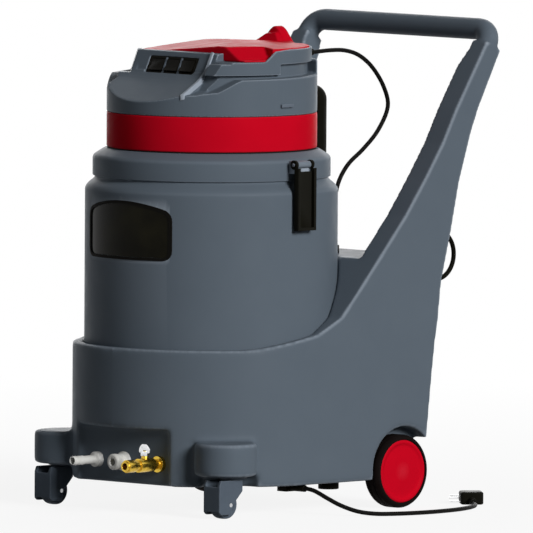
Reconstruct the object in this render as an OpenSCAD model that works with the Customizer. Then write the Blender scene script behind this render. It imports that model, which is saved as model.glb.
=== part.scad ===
// Carpet cleaner: a recovery drum in a wheeled tank base, with a lift-off motor head.
// Lengths are in millimetres. +Z is up, the casters are at -Y and the push handle is at +Y.
// The modules are written about the drum's upright axis, and from_drum_axis() shifts
// them so that the origin lies on the floor under the middle of the machine.

/* [Recovery drum] */
// Outer radius of the drum wall
drum_r = 220; // [214:1:224]
// Thickness of the drum's plastic
drum_wall = 4; // [3:0.5:5]
// Height of the well floor that the drum stands on
well_z = 170; // [160:1:185]
// Running gap between the drum and the well round it
well_gap = 1; // [0.5:0.5:2]
// Height where the wall starts to turn in to the neck
shoulder_z = 560; // [550:1:564]
// Outer radius of the neck under the rim
neck_r = 203; // [198:1:205]
// Height where the neck starts
neck_z = 574; // [570:1:576]
// Outer radius of the rim band
rim_r = 207; // [206:1:210]
// Bottom of the rim band
rim_z = 578; // [577:1:582]
// Height of the rim band
rim_h = 35; // [28:1:38]
// Height of the rim's top face, where the head seals
seat_z = 626; // [624:1:630]
// Width of the seat on the rim, from the drum's mouth out to the head's wall
seat_w = 11; // [9:1:15]

/* [Sight window] */
// Width of the window, measured straight across
window_w = 192; // [150:1:200]
// Height of the window's flat bottom edge
window_z = 446; // [430:1:455]
// Height of the window at its sides
window_side_h = 76; // [60:1:84]
// Extra height of the arched top at the middle
window_arch = 16; // [8:1:20]
// Thickness of the pane
pane_t = 3.5; // [2.5:0.5:4]
// Width of the gasket round the pane
gasket_w = 5; // [3:0.5:8]
// How far the gasket stands off the drum
gasket_t = 1.5; // [1:0.5:3]

/* [Motor head] */
// Outer radius of the ring and of the motor cover
head_r = 183; // [180:1:185]
// Thickness of the head's plastic
head_wall = 4; // [3:0.5:5]
// Height of the soft seal between the rim and the ring
seal_h = 2; // [1.5:0.5:4]
// Height of the coloured ring
ring_h = 61; // [50:1:70]
// Gap left between the ring and the cover
ring_gap = 1; // [0.5:0.5:2]
// Height of the cover's side wall
cover_h = 66; // [56:1:70]
// How far the cover's spigot reaches down into the ring
spigot_h = 8; // [5:1:12]
// How far the cover's upper body stands in from its side wall
crown_step = 10; // [7:1:15]
// Height of the crown's rim above the cover's bottom
crown_h = 114; // [108:1:118]
// Height of the low stretches of the crown's rim above the cover's bottom
saddle_h = 93; // [88:1:96]
// Height of the rear block above the cover's bottom
rear_block_h = 90; // [84:1:96]
// Height of the side grooves
groove_h = 24; // [16:1:26]
// Depth of the side grooves, inward from the crown
groove_depth = 9; // [5:1:12]
// How far the lift-off head travels up
head_lift = 300; // [280:5:340]

/* [Switch console] */
// Half of the console's width
console_half_w = 96; // [90:1:100]
// Distance of the console's top edge in front of the drum axis
console_y = 87; // [80:1:92]
// Height of the console's top edge above the cover's bottom
console_h = 106; // [100:1:110]
// Slope of the console, from level
console_slope = 64; // [58:1:70]
// Width of the switch opening
switch_open_w = 118; // [110:1:124]
// Height of the switch opening, up the slope
switch_open_h = 33; // [28:1:38]
// Distance of the opening's middle below the console's top edge, down the slope
switch_drop = 26; // [24:1:30]
// Width of one rocker
rocker_w = 30; // [24:1:32]
// Length of one rocker, up the slope
rocker_l = 23; // [20:1:25]
// Spacing of the rockers
rocker_pitch = 37; // [34:1:38]
// Radius of the pin that the rockers tilt on
rocker_pin_r = 1.2; // [1:0.1:1.4]
// Depth of the rockers' pin under the console's face
rocker_pin_drop = 3; // [2.8:0.1:3.5]

/* [Top lid] */
// Gap between the lid and the crown's rim
lid_gap = 0.5; // [0.3:0.1:1]
// Height of the lid's middle above the cover's bottom
lid_h = 122; // [118:1:126]
// How far the lid's edge lies below its middle
lid_dome = 7; // [4:1:9]
// Height of the grip's peak above the cover's bottom
grip_h = 142; // [134:1:146]
// Half of the grip's width
grip_half_w = 46; // [40:1:60]

/* [Latches] */
// Width of a latch
latch_w = 44; // [38:1:48]
// Length of a latch below its pivot
latch_l = 114; // [108:1:116]
// Height of the latch pivots
latch_z = 607; // [604:1:608]
// How far the latch pivots stand out from the drum's wall
latch_out = 3; // [2:1:6]
// Depth of a latch, outward from its pivot
latch_t = 13; // [10:1:14]
// Radius of the latch pin
latch_pin_r = 3; // [2.5:0.5:3.5]
// Radial running clearance of a pin in its bore
pin_gap = 0.05; // [0.03:0.01:0.08]

/* [Tank base] */
// Thickness of the base round the drum's well
well_band = 19; // [17:1:25]
// Height of the base's underside above the floor
base_z = 51; // [46:1:54]
// Height of the step round the drum
step_z = 289; // [280:1:296]
// Thickness of the base's plastic
base_wall = 5; // [4:0.5:6]
// Distance of the rear wall's foot behind the drum's wall
rear_l = 78; // [74:1:84]
// Height of the deck behind the drum
deck_z = 435; // [425:1:445]
// Thickness of an arm in X
arm_t = 47; // [42:1:52]

/* [Push handle] */
// Radius of the handle tube
tube_r = 18.5; // [16:0.5:20]
// Height of the handle bar's middle
bar_z = 824; // [816:1:830]
// Distance of the handle bar behind the drum axis
bar_y = 470; // [462:1:474]
// How far the bar's grip stands proud of the tube
grip_proud = 0.5; // [0.5:0.5:2]
// Centre-line radius of the handle's bends
bend_r = 30; // [25:1:40]

/* [Front fittings] */
// Half of the width of the recessed fitting panel
panel_half_w = 110; // [104:1:114]
// Depth of the panel behind the base's round front
panel_depth = 37; // [32:1:42]
// Height of the panel's top edge above the floor
panel_z = 149; // [140:1:156]
// Height of the three fittings above the floor
fitting_z = 89; // [84:1:94]
// Outer radius of the drain nipple
nipple_r = 8.2; // [7:0.1:9]
// Length of the drain nipple
nipple_l = 64; // [50:1:70]
// Distance of the nipple to the left
nipple_x = 70; // [60:1:80]
// Outer radius of the solution coupler
coupler_r = 14; // [12:0.5:16]
// Bore radius of the solution coupler
coupler_bore_r = 6.5; // [5:0.5:8]
// Length of the solution coupler
coupler_l = 30; // [24:1:36]
// Distance of the solution coupler to the left
coupler_x = 6; // [2:1:12]
// Radius of the valve's body
valve_r = 12; // [10:0.5:13]
// Length of the valve
valve_l = 86; // [76:1:90]
// Distance of the valve to the right
valve_x = 82; // [74:1:88]
// Radius of the valve's stem
stem_r = 3.5; // [3:0.5:4.5]

/* [Casters] */
// Radius of a caster wheel
caster_r = 25; // [23:1:26]
// Width of a caster wheel
caster_w = 22; // [18:1:24]
// Distance of a caster's swivel axis in from the base's side
caster_in = 31; // [28:1:34]
// Distance of a caster's swivel axis behind the base's round front
caster_back = 87; // [84:1:90]
// Distance of the wheel's axle from the swivel axis
caster_trail = 22; // [20:1:24]
// Radius of the kingpin
kingpin_r = 5; // [4:0.5:6]
// Width of a caster's hooded fork
hood_w = 40; // [38:1:42]
// Radius of the round pad over each caster
pad_r = 54; // [52:1:57]
// Distance of a pad's middle in from the base's side
pad_in = 42; // [40:1:44]
// Distance of a pad's middle behind the base's round front
pad_back = 82; // [80:1:84]
// Height of the pad's underside above the floor
pad_z = 73; // [71:1:75]
// Height of the pad
pad_h = 58; // [50:1:64]

/* [Rear wheels] */
// Radius of a rear wheel, over its tyre
wheel_r = 64; // [60:1:66]
// Width of a rear wheel
wheel_w = 36; // [32:1:38]
// Radius of the wheel's centre disc
disc_r = 55; // [51:1:57]
// Distance of the axle behind the drum axis
axle_y = 231; // [227:1:233]
// Radius of the axle
axle_r = 8; // [6:0.5:9]
// How far the wheels stand out past the base
wheel_out = 5; // [4:1:8]
// Gap between a wheel and its arch
arch_gap = 12; // [11:1:14]
// How far the arch's middle lies behind the axle
arch_back = 10; // [6:1:10]

/* [Vacuum inlet] */
// Bore radius of the hose socket
inlet_bore_r = 20; // [18:0.5:21]
// Outer radius of the elbow
inlet_r = 26; // [24:0.5:27]
// Height of the elbow's swivel axis above the floor
inlet_z = 701; // [699:1:704]
// Distance of the elbow's down leg behind the head's wall
inlet_reach = 63; // [58:1:66]
// Height of the socket's mouth above the floor
inlet_mouth_z = 605; // [600:1:612]

/* [Inside the head] */
// Radius of a vacuum motor's fan case
fan_case_r = 62; // [56:1:64]
// Distance of a vacuum motor from the middle plane
motor_x = 78; // [74:1:82]
// Height of the fan case
fan_case_h = 44; // [38:1:48]
// Height of a vacuum motor above its fan case
motor_h = 66; // [56:1:68]
// Radius of the float ball
float_r = 24; // [20:1:26]
// How far the float ball rises
float_rise = 20; // [14:1:24]

/* [Inside the base] */
// Radius of the pump's motor
pump_r = 26; // [22:1:27]
// Length of the pump's motor
pump_motor_l = 96; // [80:1:100]
// Length of the pump
pump_l = 50; // [40:1:56]

/* [Caps and cords] */
// Radius of the filler cap on the deck
filler_r = 32; // [26:1:36]
// Radius of the drain cap under the base
drain_r = 18; // [14:1:20]
// Radius of the mains cord and of the pump lead
cord_r = 3.75; // [3.5:0.25:4]
// Length of the plug's body
plug_l = 45; // [40:1:48]
// Radius of the cord hook's rod
hook_r = 4; // [3:0.5:5]
// Radius of the cord hook's bow
hook_bow_r = 42; // [36:1:44]

/* [Hidden] */
$fn = 72;

SLATE = [0.36, 0.40, 0.44];
SLATE_DARK = [0.28, 0.31, 0.34];
RED = [0.78, 0.04, 0.13];
BLACK = [0.06, 0.06, 0.06];
SMOKE = [0.10, 0.10, 0.06];
BRASS = [0.80, 0.66, 0.25];
CHROME = [0.80, 0.81, 0.82];
STEEL = [0.62, 0.63, 0.64];

// Radii and distances that follow from the drum and the head
well_r = drum_r + well_gap;
base_r = well_r + well_band;
rear_y = drum_r + rear_l;
mouth_r = head_r - seat_w;
crown_r = head_r - crown_step;
latch_x = drum_r + latch_out;
panel_y = base_r - panel_depth;
caster_x = base_r - caster_in;
caster_y = base_r - caster_back;
hood_front = caster_trail + caster_r + 3.5;
caster_reach = norm([hood_front, hood_w / 2]) + 1.5;

// Heights that follow from the driving sizes
ring_z = seat_z + seal_h;
cover_z = ring_z + ring_h + ring_gap;
wall_top_z = cover_z + cover_h;
saddle_z = cover_z + saddle_h;
crown_z = cover_z + crown_h;
console_z = cover_z + console_h;
// Length of a cut that passes right through the machine
past = 2 * (cover_z + grip_h);
plate_t = 6;
ledge_t = 4;
plate_z = ring_z + ledge_t;
spigot_gap = 0.3;
plate_r = head_r - head_wall - spigot_gap;

// Run of the side plates and arms, as distances behind the drum axis and heights
arm_lip = 0.5;
arm_x = base_r - tube_r - arm_lip;
handle_tilt = 28;
bend_y = bar_y - bend_r * sin(handle_tilt);
bend_z = bar_z - bend_r * cos(handle_tilt);
arm_end_r = tube_r + arm_lip;
tube_front = [bend_y - arm_end_r * cos(handle_tilt), bend_z + arm_end_r * sin(handle_tilt)];
tube_back = [bend_y + arm_end_r * cos(handle_tilt), bend_z - arm_end_r * sin(handle_tilt)];
side_front = [
    [-84, step_z + 4], [25, step_z + 22], [82, step_z + 49], [122, step_z + 91],
    [175, deck_z + 3], [239, deck_z + 74], [289, deck_z + 139], [330, deck_z + 197],
    [363, deck_z + 255]
];
side_back = [
    [rear_y + 121, deck_z + 255], [rear_y + 103, deck_z + 214], [rear_y + 74, deck_z + 128],
    [rear_y + 54, deck_z + 41], [rear_y + 31, deck_z - 45], [rear_y + 21, deck_z - 132],
    [rear_y + 10, deck_z - 219], [rear_y, deck_z - 309], [rear_y, base_z]
];

arch_r = wheel_r + arch_gap;
wheel_outer_x = base_r + wheel_out;
wheel_inner_x = wheel_outer_x - wheel_w;
arch_inner_x = wheel_inner_x - 5;
bay_half_w = 96;
bay_front_y = 190;
bay_back_y = rear_y - 7;
bay_top_z = 137;
sleeve_r = axle_r + 5;

// The machine's middle, between the valve's tip and the back of the handle bar
front_reach = panel_y + valve_l;
back_reach = bar_y + tube_r + grip_proud;
mid_y = (back_reach - front_reach) / 2;

// Console plane: its top edge, and unit steps down the slope and out of it
console_down = [0, -cos(console_slope), -sin(console_slope)];
switch_y = -console_y - switch_drop * cos(console_slope);
switch_z = console_z - switch_drop * sin(console_slope);

pump_y = 238;
pump_z = 105;
filler_x = -92;
filler_y = 268;
drain_x = 181;
drain_y = 111;
gland_x = 205;
gland_y = 3;
gland_z = base_z - 6;
hook_x = base_r - 25;
hook_z = deck_z;
// The rear wall behind the hook runs between these two points
wall_low = side_back[4];
wall_high = side_back[3];
wall_lean = atan2(wall_high[0] - wall_low[0], wall_high[1] - wall_low[1]);
hook_y = wall_low[0] + (hook_z - wall_low[1]) * tan(wall_lean);
lead_x = 60;
lead_top_z = cover_z + 98;
lead_deck_y = 240;

// Routes of the two cords, through hand-set points about the drum axis
LEAD_POINTS = [
    [60, 176, 788], [60, 194, 788], [60, 228, 789.5], [60, 266, 788], [60, 302, 778], [60, 336, 755],
    [60, 364, 720], [60, 374, 685], [60, 350, 645], [60, 314, 614], [60, 276, 588],
    [60, 252, 556], [60, 242, 515], [60, 240, 475], [60, 240, 443]
];
CORD_POINTS = [
    [206, 3, 45], [234, 3, 45], [254, 5, 41.5], [276, 11, 31], [299, 23, 18.5], [322, 42, 8.5], [342, 66, 4.5],
    [358, 96, 4], [368, 130, 4], [372, 168, 4], [370, 206, 4], [364, 244, 4], [352, 280, 4],
    [336, 312, 4], [314, 340, 4], [290, 360, 4]
];
PLUG_AT = [290, 360, 0];
PLUG_TURN = 140;

module from_drum_axis() {
    translate([0, -mid_y, 0]) children();
}

module both_sides() {
    children();
    mirror([1, 0, 0]) children();
}

// Turns an outline drawn as (distance back, height) into a slab across the machine
module across(x0, x1) {
    translate([x0, 0, 0]) rotate([90, 0, 90]) linear_extrude(x1 - x0) children();
}

// Turns an outline drawn as (distance across, height) into a bar that runs back
module along(y0, y1) {
    translate([0, y1, 0]) rotate([90, 0, 0]) linear_extrude(y1 - y0) children();
}

// A tube swept along points, with a flat end at each end
function unit(v) = v / norm(v);
function tangent(p, i) = unit(p[min(i + 1, len(p) - 1)] - p[max(i - 1, 0)]);
function ring_at(c, t, r, n, up) =
    let (side = unit(cross(t, up)), top = cross(side, t))
    [for (k = [0:n - 1]) c + r * (cos(360 * k / n) * side + sin(360 * k / n) * top)];

module swept_tube(p, r, up, sides = 8) {
    last = (len(p) - 1) * sides;
    polyhedron(
        points = [for (i = [0:len(p) - 1]) each ring_at(p[i], tangent(p, i), r, sides, up)],
        faces = [
            [for (k = [0:sides - 1]) k],
            [for (k = [0:sides - 1]) last + sides - 1 - k],
            for (i = [0:len(p) - 2]) for (k = [0:sides - 1])
                [i * sides + k, (i + 1) * sides + k,
                 (i + 1) * sides + (k + 1) % sides, i * sides + (k + 1) % sides]
        ]
    );
}

// ---------------------------------------------------------------- tank base

module base_plan(inset = 0) {
    intersection() {
        circle(base_r - inset);
        translate([-base_r, -base_r]) square([2 * base_r, base_r + 1]);
    }
    translate([-base_r + inset, 0]) square([2 * (base_r - inset), bar_y + tube_r]);
}

module side_outline() {
    polygon(concat(
        [[-base_r - 1, base_z], [-base_r - 1, step_z], [-120, step_z]],
        side_front, [tube_front, tube_back], side_back
    ));
}

// The tube from the end of an arm, round its bend
module handle_bend(side) {
    translate([side * (arm_x - bend_r), bend_y, bend_z]) rotate([90 - handle_tilt, 0, 0]) {
        rotate([0, 0, side > 0 ? 0 : 90]) rotate_extrude(angle = 90)
            translate([bend_r, 0]) circle(tube_r);
        translate([side * bend_r, 0, 0]) rotate([90, 0, 0]) cylinder(r = tube_r, h = tube_r);
    }
}

module base_outside() {
    difference() {
        intersection() {
            translate([0, 0, base_z]) linear_extrude(bar_z) base_plan();
            across(-base_r, base_r) side_outline();
        }
        along(-1, bar_y + 2 * tube_r) polygon([
            [-base_r + arm_t, deck_z], [base_r - arm_t, deck_z],
            [base_r - arm_t, bend_z - 35], [arm_x - arm_end_r, bend_z - 5],
            [arm_x - arm_end_r, bar_z + 60], [-arm_x + arm_end_r, bar_z + 60],
            [-arm_x + arm_end_r, bend_z - 5], [-base_r + arm_t, bend_z - 35]
        ]);
    }
    for (side = [-1, 1]) handle_bend(side);
    translate([-arm_x + bend_r, bar_y, bar_z]) rotate([0, 90, 0])
        cylinder(r = tube_r + grip_proud, h = 2 * (arm_x - bend_r));
    both_sides() translate([base_r - pad_in, pad_back - base_r, pad_z]) cylinder(r = pad_r, h = pad_h);
}

module arches(grow = 0) {
    both_sides() translate([arch_inner_x - grow, axle_y + arch_back, wheel_r + 1]) rotate([0, 90, 0])
        cylinder(r = arch_r + grow, h = base_r);
}

module caster_space(grow = 0) {
    both_sides() translate([caster_x, -caster_y, -1]) cylinder(r = caster_reach + grow, h = pad_z + 1 + grow);
}

module fitting_recess(grow = 0) {
    translate([-panel_half_w - grow, -base_r - 5, base_z - 5])
        cube([2 * (panel_half_w + grow), base_r + 5 - panel_y + grow, panel_z - base_z + 5 + grow]);
}

module pump_bay(grow = 0) {
    translate([-bay_half_w - grow, bay_front_y - grow, base_z - 1])
        cube([2 * (bay_half_w + grow), bay_back_y - bay_front_y + 2 * grow, bay_top_z - base_z + 1 + grow]);
}

module solution_space() {
    difference() {
        union() {
            translate([0, 0, base_z + base_wall])
                linear_extrude(well_z - base_z - 2 * base_wall)
                    intersection() {
                        base_plan(base_wall);
                        translate([-base_r, -base_r]) square([2 * base_r, base_r + rear_y - base_wall]);
                    }
            across(-base_r + arm_t, base_r - arm_t) polygon([
                [well_r + base_wall, base_z + base_wall], [rear_y - base_wall, base_z + base_wall],
                [rear_y - base_wall, deck_z - 309], [rear_y + 5, deck_z - 219],
                [rear_y + 16, deck_z - 132], [rear_y + 26, deck_z - 45],
                [rear_y + 36, deck_z - base_wall], [well_r + base_wall, deck_z - base_wall]
            ]);
        }
        arches(base_wall);
        caster_space(base_wall);
        fitting_recess(base_wall);
        pump_bay(base_wall);
    }
}

module base() {
    color(SLATE) from_drum_axis() difference() {
        union() {
            difference() {
                base_outside();
                solution_space();
            }
            translate([-arch_inner_x, axle_y, wheel_r]) rotate([0, 90, 0])
                cylinder(r = sleeve_r, h = 2 * arch_inner_x);
        }
        translate([0, 0, well_z]) cylinder(r = well_r, h = past);
        arches();
        caster_space();
        fitting_recess();
        difference() {
            pump_bay();
            translate([-bay_half_w - 1, axle_y, wheel_r]) rotate([0, 90, 0])
                cylinder(r = sleeve_r, h = 2 * bay_half_w + 2);
        }
        translate([-base_r, axle_y, wheel_r]) rotate([0, 90, 0]) cylinder(r = axle_r, h = 2 * base_r);
        translate([filler_x, filler_y, deck_z - 20]) cylinder(r = filler_r - 8, h = 30);
        translate([drain_x, drain_y, base_z - 1]) cylinder(r = drain_r - 6, h = base_wall + 2);
    }
}

module filler_neck() {
    color(BLACK) from_drum_axis() translate([filler_x, filler_y, deck_z - base_wall - 8])
        difference() {
            union() {
                cylinder(r = filler_r - 8, h = base_wall + 14);
                translate([0, 0, base_wall + 8]) cylinder(r = filler_r - 4, h = 2);
            }
            translate([0, 0, -1]) cylinder(r = filler_r - 11, h = base_wall + 20);
        }
}

module filler_cap() {
    color(BLACK) from_drum_axis() translate([filler_x, filler_y, deck_z + 2.3]) difference() {
        union() {
            cylinder(r = filler_r, h = 12);
            for (a = [0:30:330]) rotate([0, 0, a]) translate([filler_r, 0, 0]) cylinder(r = 2, h = 12);
        }
        translate([0, 0, -1]) cylinder(r = filler_r - 7.5, h = 9);
    }
}

module drain_cap() {
    color(BLACK) from_drum_axis() translate([drain_x, drain_y, 0]) {
        translate([0, 0, base_z - 15]) cylinder(r = drain_r, h = 14.7);
        translate([0, 0, base_z - 1]) cylinder(r = drain_r - 6.3, h = base_wall + 2);
    }
}

module bay_cover() {
    color(SLATE_DARK) from_drum_axis()
        translate([-bay_half_w - 12, bay_front_y - 8, base_z - 4])
            cube([2 * bay_half_w + 24, bay_back_y - bay_front_y + 12, 4]);
}

module pump_motor() {
    color(STEEL) from_drum_axis() {
        translate([-pump_motor_l + 24, pump_y, pump_z]) rotate([0, 90, 0])
            cylinder(r = pump_r, h = pump_motor_l);
        translate([-60, bay_front_y, pump_z - 12]) cube([70, pump_y - bay_front_y, 24]);
    }
}

module pump() {
    color(BLACK) from_drum_axis() {
        translate([24, pump_y, pump_z]) rotate([0, 90, 0]) cylinder(r = pump_r - 2, h = pump_l);
        translate([24 + pump_l / 2, bay_front_y, pump_z]) rotate([-90, 0, 0])
            cylinder(r = 7, h = pump_y - bay_front_y);
    }
}

// ---------------------------------------------------------------- drum

module drum_outline() {
    polygon([
        [0, well_z], [drum_r - 6, well_z], [drum_r, well_z + 6], [drum_r, shoulder_z],
        [neck_r, neck_z], [neck_r, rim_z], [rim_r, rim_z], [rim_r, rim_z + rim_h],
        [head_r + 3, seat_z], [mouth_r, seat_z], [mouth_r, seat_z - 2 * drum_wall],
        [neck_r - drum_wall, rim_z + rim_h - 2 * drum_wall], [neck_r - drum_wall, neck_z - 2],
        [drum_r - drum_wall, shoulder_z - 3], [drum_r - drum_wall, well_z + 8],
        [drum_r - drum_wall - 6, well_z + drum_wall], [0, well_z + drum_wall]
    ]);
}

// The window's outline, seen from the front
module window_outline(grow = 0) {
    half = window_w / 2;
    arch_r = (half * half + window_arch * window_arch) / (2 * window_arch);
    intersection() {
        translate([-half - grow, window_z - grow])
            square([window_w + 2 * grow, window_side_h + window_arch + 2 * grow]);
        translate([0, window_z + window_side_h + window_arch - arch_r]) circle(arch_r + grow, $fn = 180);
    }
}

module front_band(r0, r1, z0, z1) {
    translate([0, 0, z0]) difference() {
        cylinder(r = r1, h = z1 - z0);
        translate([0, 0, -1]) cylinder(r = r0, h = z1 - z0 + 2);
    }
}

module drum() {
    color(SLATE) from_drum_axis() difference() {
        rotate_extrude() drum_outline();
        along(-drum_r - gasket_t - 1, -mouth_r / 2) window_outline();
    }
}

module sight_window() {
    color(SMOKE) from_drum_axis() intersection() {
        front_band(drum_r - pane_t, drum_r, window_z - 20, shoulder_z);
        along(-drum_r - gasket_t - 1, -mouth_r / 2) window_outline();
    }
}

module window_gasket() {
    color(BLACK) from_drum_axis() intersection() {
        front_band(drum_r, drum_r + gasket_t, window_z - 20, shoulder_z);
        along(-drum_r - gasket_t - 1, -mouth_r / 2) difference() {
            window_outline(gasket_w);
            window_outline();
        }
    }
}

// ---------------------------------------------------------------- motor head

module head_ring() {
    color(RED) from_drum_axis() rotate_extrude() polygon([
        [head_r, ring_z], [head_r, ring_z + ring_h], [head_r - head_wall, ring_z + ring_h],
        [head_r - head_wall, plate_z], [mouth_r + 2, plate_z], [mouth_r + 2, ring_z]
    ]);
}

module head_seal() {
    color(BLACK) from_drum_axis() rotate_extrude() polygon([
        [mouth_r + 3, seat_z], [head_r - 1, seat_z], [head_r - 1, ring_z], [mouth_r + 3, ring_z]
    ]);
}

module motor_plate() {
    color(BLACK) from_drum_axis() difference() {
        translate([0, 0, plate_z]) cylinder(r = plate_r, h = plate_t);
        for (s = [-1, 1]) translate([s * motor_x, 0, plate_z - 1])
            cylinder(r = 16, h = plate_t + 2);
    }
}

// The cover's upper body, from the console's slope back to the rear
module crown() {
    slope_run = (console_z - cover_z - 20) / tan(console_slope);
    intersection() {
        translate([0, 0, cover_z + 10]) cylinder(r = crown_r, h = crown_h);
        across(-head_r, head_r) polygon([
            [-console_y - slope_run, cover_z + 20], [-console_y, console_z],
            [-console_y + 70, crown_z - 3], [20, crown_z], [head_r, crown_z - 2],
            [head_r, cover_z + 20]
        ]);
    }
}

module rear_block() {
    intersection() {
        translate([0, 0, cover_z + 1]) cylinder(r = head_r, h = rear_block_h - 1);
        translate([-head_r, head_r * sin(46), cover_z]) cube([2 * head_r, head_r, crown_h]);
    }
}

// Front shelf, rising a little from the wall to the foot of the console
module front_shelf() {
    intersection() {
        translate([0, 0, cover_z + 1]) cylinder(r = head_r, h = crown_h);
        across(-console_half_w - 25, console_half_w + 25) polygon([
            [-head_r, cover_z + 2], [-head_r, wall_top_z - 1], [-console_y - 14, wall_top_z + 7],
            [-console_y + 8, wall_top_z + 7], [-console_y + 8, cover_z + 2]
        ]);
    }
}

// Groove between the side wall and the crown, deeper at its front end
module side_groove() {
    groove_r = crown_r - groove_depth;
    groove_top = wall_top_z + groove_h - 2;
    both_sides() difference() {
        intersection() {
            translate([0, 0, wall_top_z - 40]) difference() {
                cylinder(r = head_r + 1, h = groove_top - wall_top_z + 40);
                translate([0, 0, -1]) cylinder(r = groove_r, h = crown_h);
            }
            across(0, head_r + 1) polygon([
                [-160, cover_z + 36], [-120, cover_z + 42], [-96, cover_z + 58], [-86, wall_top_z - 3],
                [head_r * sin(46), wall_top_z + 1], [head_r * sin(46), crown_z], [-160, crown_z]
            ]);
        }
        rotate([0, 0, 14]) translate([0, -2 * head_r, 0]) cube([console_half_w - 17, 2 * head_r, past]);
    }
}

module saddle_cut() {
    both_sides() across(console_half_w + 6, head_r) polygon([
        [-head_r, saddle_z], [-37, saddle_z], [-10, crown_z + 1], [-10, past], [-head_r, past]
    ]);
}

module cover_inside() {
    translate([0, 0, cover_z - spigot_h - 1]) cylinder(r = head_r - head_wall - 6, h = cover_h + spigot_h - 10);
    translate([0, 0, cover_z]) cylinder(r = crown_r - groove_depth - 2 * head_wall, h = saddle_h - head_wall - 2);
}

// Everything in front of the console's inner face, so that its slope keeps one wall
module console_front() {
    translate([0, -console_y, console_z]) rotate([console_slope - 90, 0, 0])
        translate([-head_r, -head_r, -2 * head_r]) cube([2 * head_r, head_r + 3 * head_wall, 3 * head_r]);
}

module switch_frame() {
    translate([0, switch_y, switch_z]) rotate([console_slope, 0, 0]) children();
}

module switch_opening() {
    switch_frame() translate([-switch_open_w / 2, -switch_open_h / 2, -30])
        cube([switch_open_w, switch_open_h, 60]);
}

module lid_space() {
    difference() {
        translate([0, 0, saddle_z]) cylinder(r = crown_r - head_wall, h = crown_h);
        translate([-head_r, -head_r, 0]) cube([2 * head_r, head_r - console_y + 14, past]);
    }
}

module motor_cover() {
    color(SLATE) from_drum_axis() difference() {
        union() {
            rotate_extrude() polygon([
                [0, cover_z], [head_r, cover_z], [head_r, wall_top_z - 3],
                [head_r - 3, wall_top_z], [0, wall_top_z]
            ]);
            translate([0, 0, cover_z - spigot_h]) cylinder(r = plate_r, h = spigot_h + 1);
            rear_block();
            front_shelf();
            crown();
        }
        side_groove();
        saddle_cut();
        lid_space();
        difference() {
            cover_inside();
            console_front();
        }
        translate([0, 0, cover_z - spigot_h - 1]) cylinder(r = head_r - head_wall - 6, h = 20);
        switch_opening();
        translate([lead_x, head_r, lead_top_z]) rotate([90, 0, 0]) cylinder(r = 6, h = 60);
    }
}

// The lid's sides slope down to the saddles
module lid_flanks() {
    slope_r = crown_r - 55;
    both_sides() rotate([0, 0, -20]) along(-160, 40) polygon([
        [slope_r, cover_z + lid_h + 1], [slope_r + 40, saddle_z + 3], [head_r + 20, saddle_z + 3],
        [head_r + 20, past], [slope_r, past]
    ]);
}

module top_lid() {
    lid_r = crown_r - head_wall - lid_gap;
    dome_r = (lid_r * lid_r + lid_dome * lid_dome) / (2 * lid_dome);
    color(RED) from_drum_axis() {
        difference() {
            intersection() {
                translate([0, 0, saddle_z]) cylinder(r = lid_r, h = lid_h);
                translate([0, 0, cover_z + lid_h - dome_r]) sphere(dome_r, $fn = 200);
            }
            translate([-head_r, -head_r, 0]) cube([2 * head_r, head_r - console_y + 14 + lid_gap, past]);
            lid_flanks();
        }
        intersection() {
            along(head_r - 66, head_r - 18) polygon([
                [-grip_half_w, saddle_z], [-grip_half_w, cover_z + lid_h - 6],
                [-grip_half_w / 4, cover_z + grip_h], [grip_half_w / 4, cover_z + grip_h],
                [grip_half_w, cover_z + lid_h - 6], [grip_half_w, saddle_z]
            ]);
            translate([0, 0, saddle_z]) cylinder(r = lid_r, h = head_r);
            across(-head_r, head_r) polygon([
                [head_r - 60, saddle_z], [head_r - 50, cover_z + lid_h - 6], [head_r - 30, cover_z + grip_h],
                [head_r - 17, cover_z + grip_h - 6], [head_r - 12, saddle_z]
            ]);
        }
    }
}

module switch_bezel() {
    color(BLACK) from_drum_axis() switch_frame() difference() {
        translate([-switch_open_w / 2, -switch_open_h / 2, -14])
            cube([switch_open_w, switch_open_h, 13]);
        for (k = [-1:1]) translate([k * rocker_pitch - rocker_w / 2 - 0.5, -rocker_l / 2 - 0.5, -12])
            cube([rocker_w + 1, rocker_l + 1, 20]);
    }
    color(BLACK) from_drum_axis() switch_frame()
        translate([-switch_open_w / 2 + 2, 0, -rocker_pin_drop]) rotate([0, 90, 0])
            cylinder(r = rocker_pin_r, h = switch_open_w - 4);
}

// A rocker switch, tilting on a pin across it
module rocker(k) {
    color(SMOKE) from_drum_axis() switch_frame() translate([k * rocker_pitch - rocker_w / 2, 0, 0])
        difference() {
            rotate([90, 0, 90]) linear_extrude(rocker_w) polygon([
                [-rocker_l / 2 + 1, -3], [0, -8], [rocker_l / 2 - 1, -3],
                [rocker_l / 2 - 0.8, 0.5], [0, -0.8], [-rocker_l / 2 + 0.8, 2.5]
            ]);
            translate([-1, 0, -rocker_pin_drop]) rotate([0, 90, 0])
                cylinder(r = rocker_pin_r + pin_gap, h = rocker_w + 2);
        }
}

// ---------------------------------------------------------------- latches

module latch_bracket() {
    color(SLATE) from_drum_axis() {
        difference() {
            union() {
                translate([latch_x, 0, latch_z]) rotate([90, 0, 0])
                    cylinder(r = 2 * latch_pin_r, h = latch_w - 12, center = true);
                translate([neck_r, -(latch_w - 12) / 2, latch_z - 16])
                    cube([latch_x - neck_r, latch_w - 12, 16 + 2 * latch_pin_r]);
            }
            cylinder(r = rim_r, h = past);
        }
        translate([latch_x, 0, latch_z]) rotate([90, 0, 0])
            cylinder(r = latch_pin_r, h = latch_w + 2, center = true);
    }
}

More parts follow.
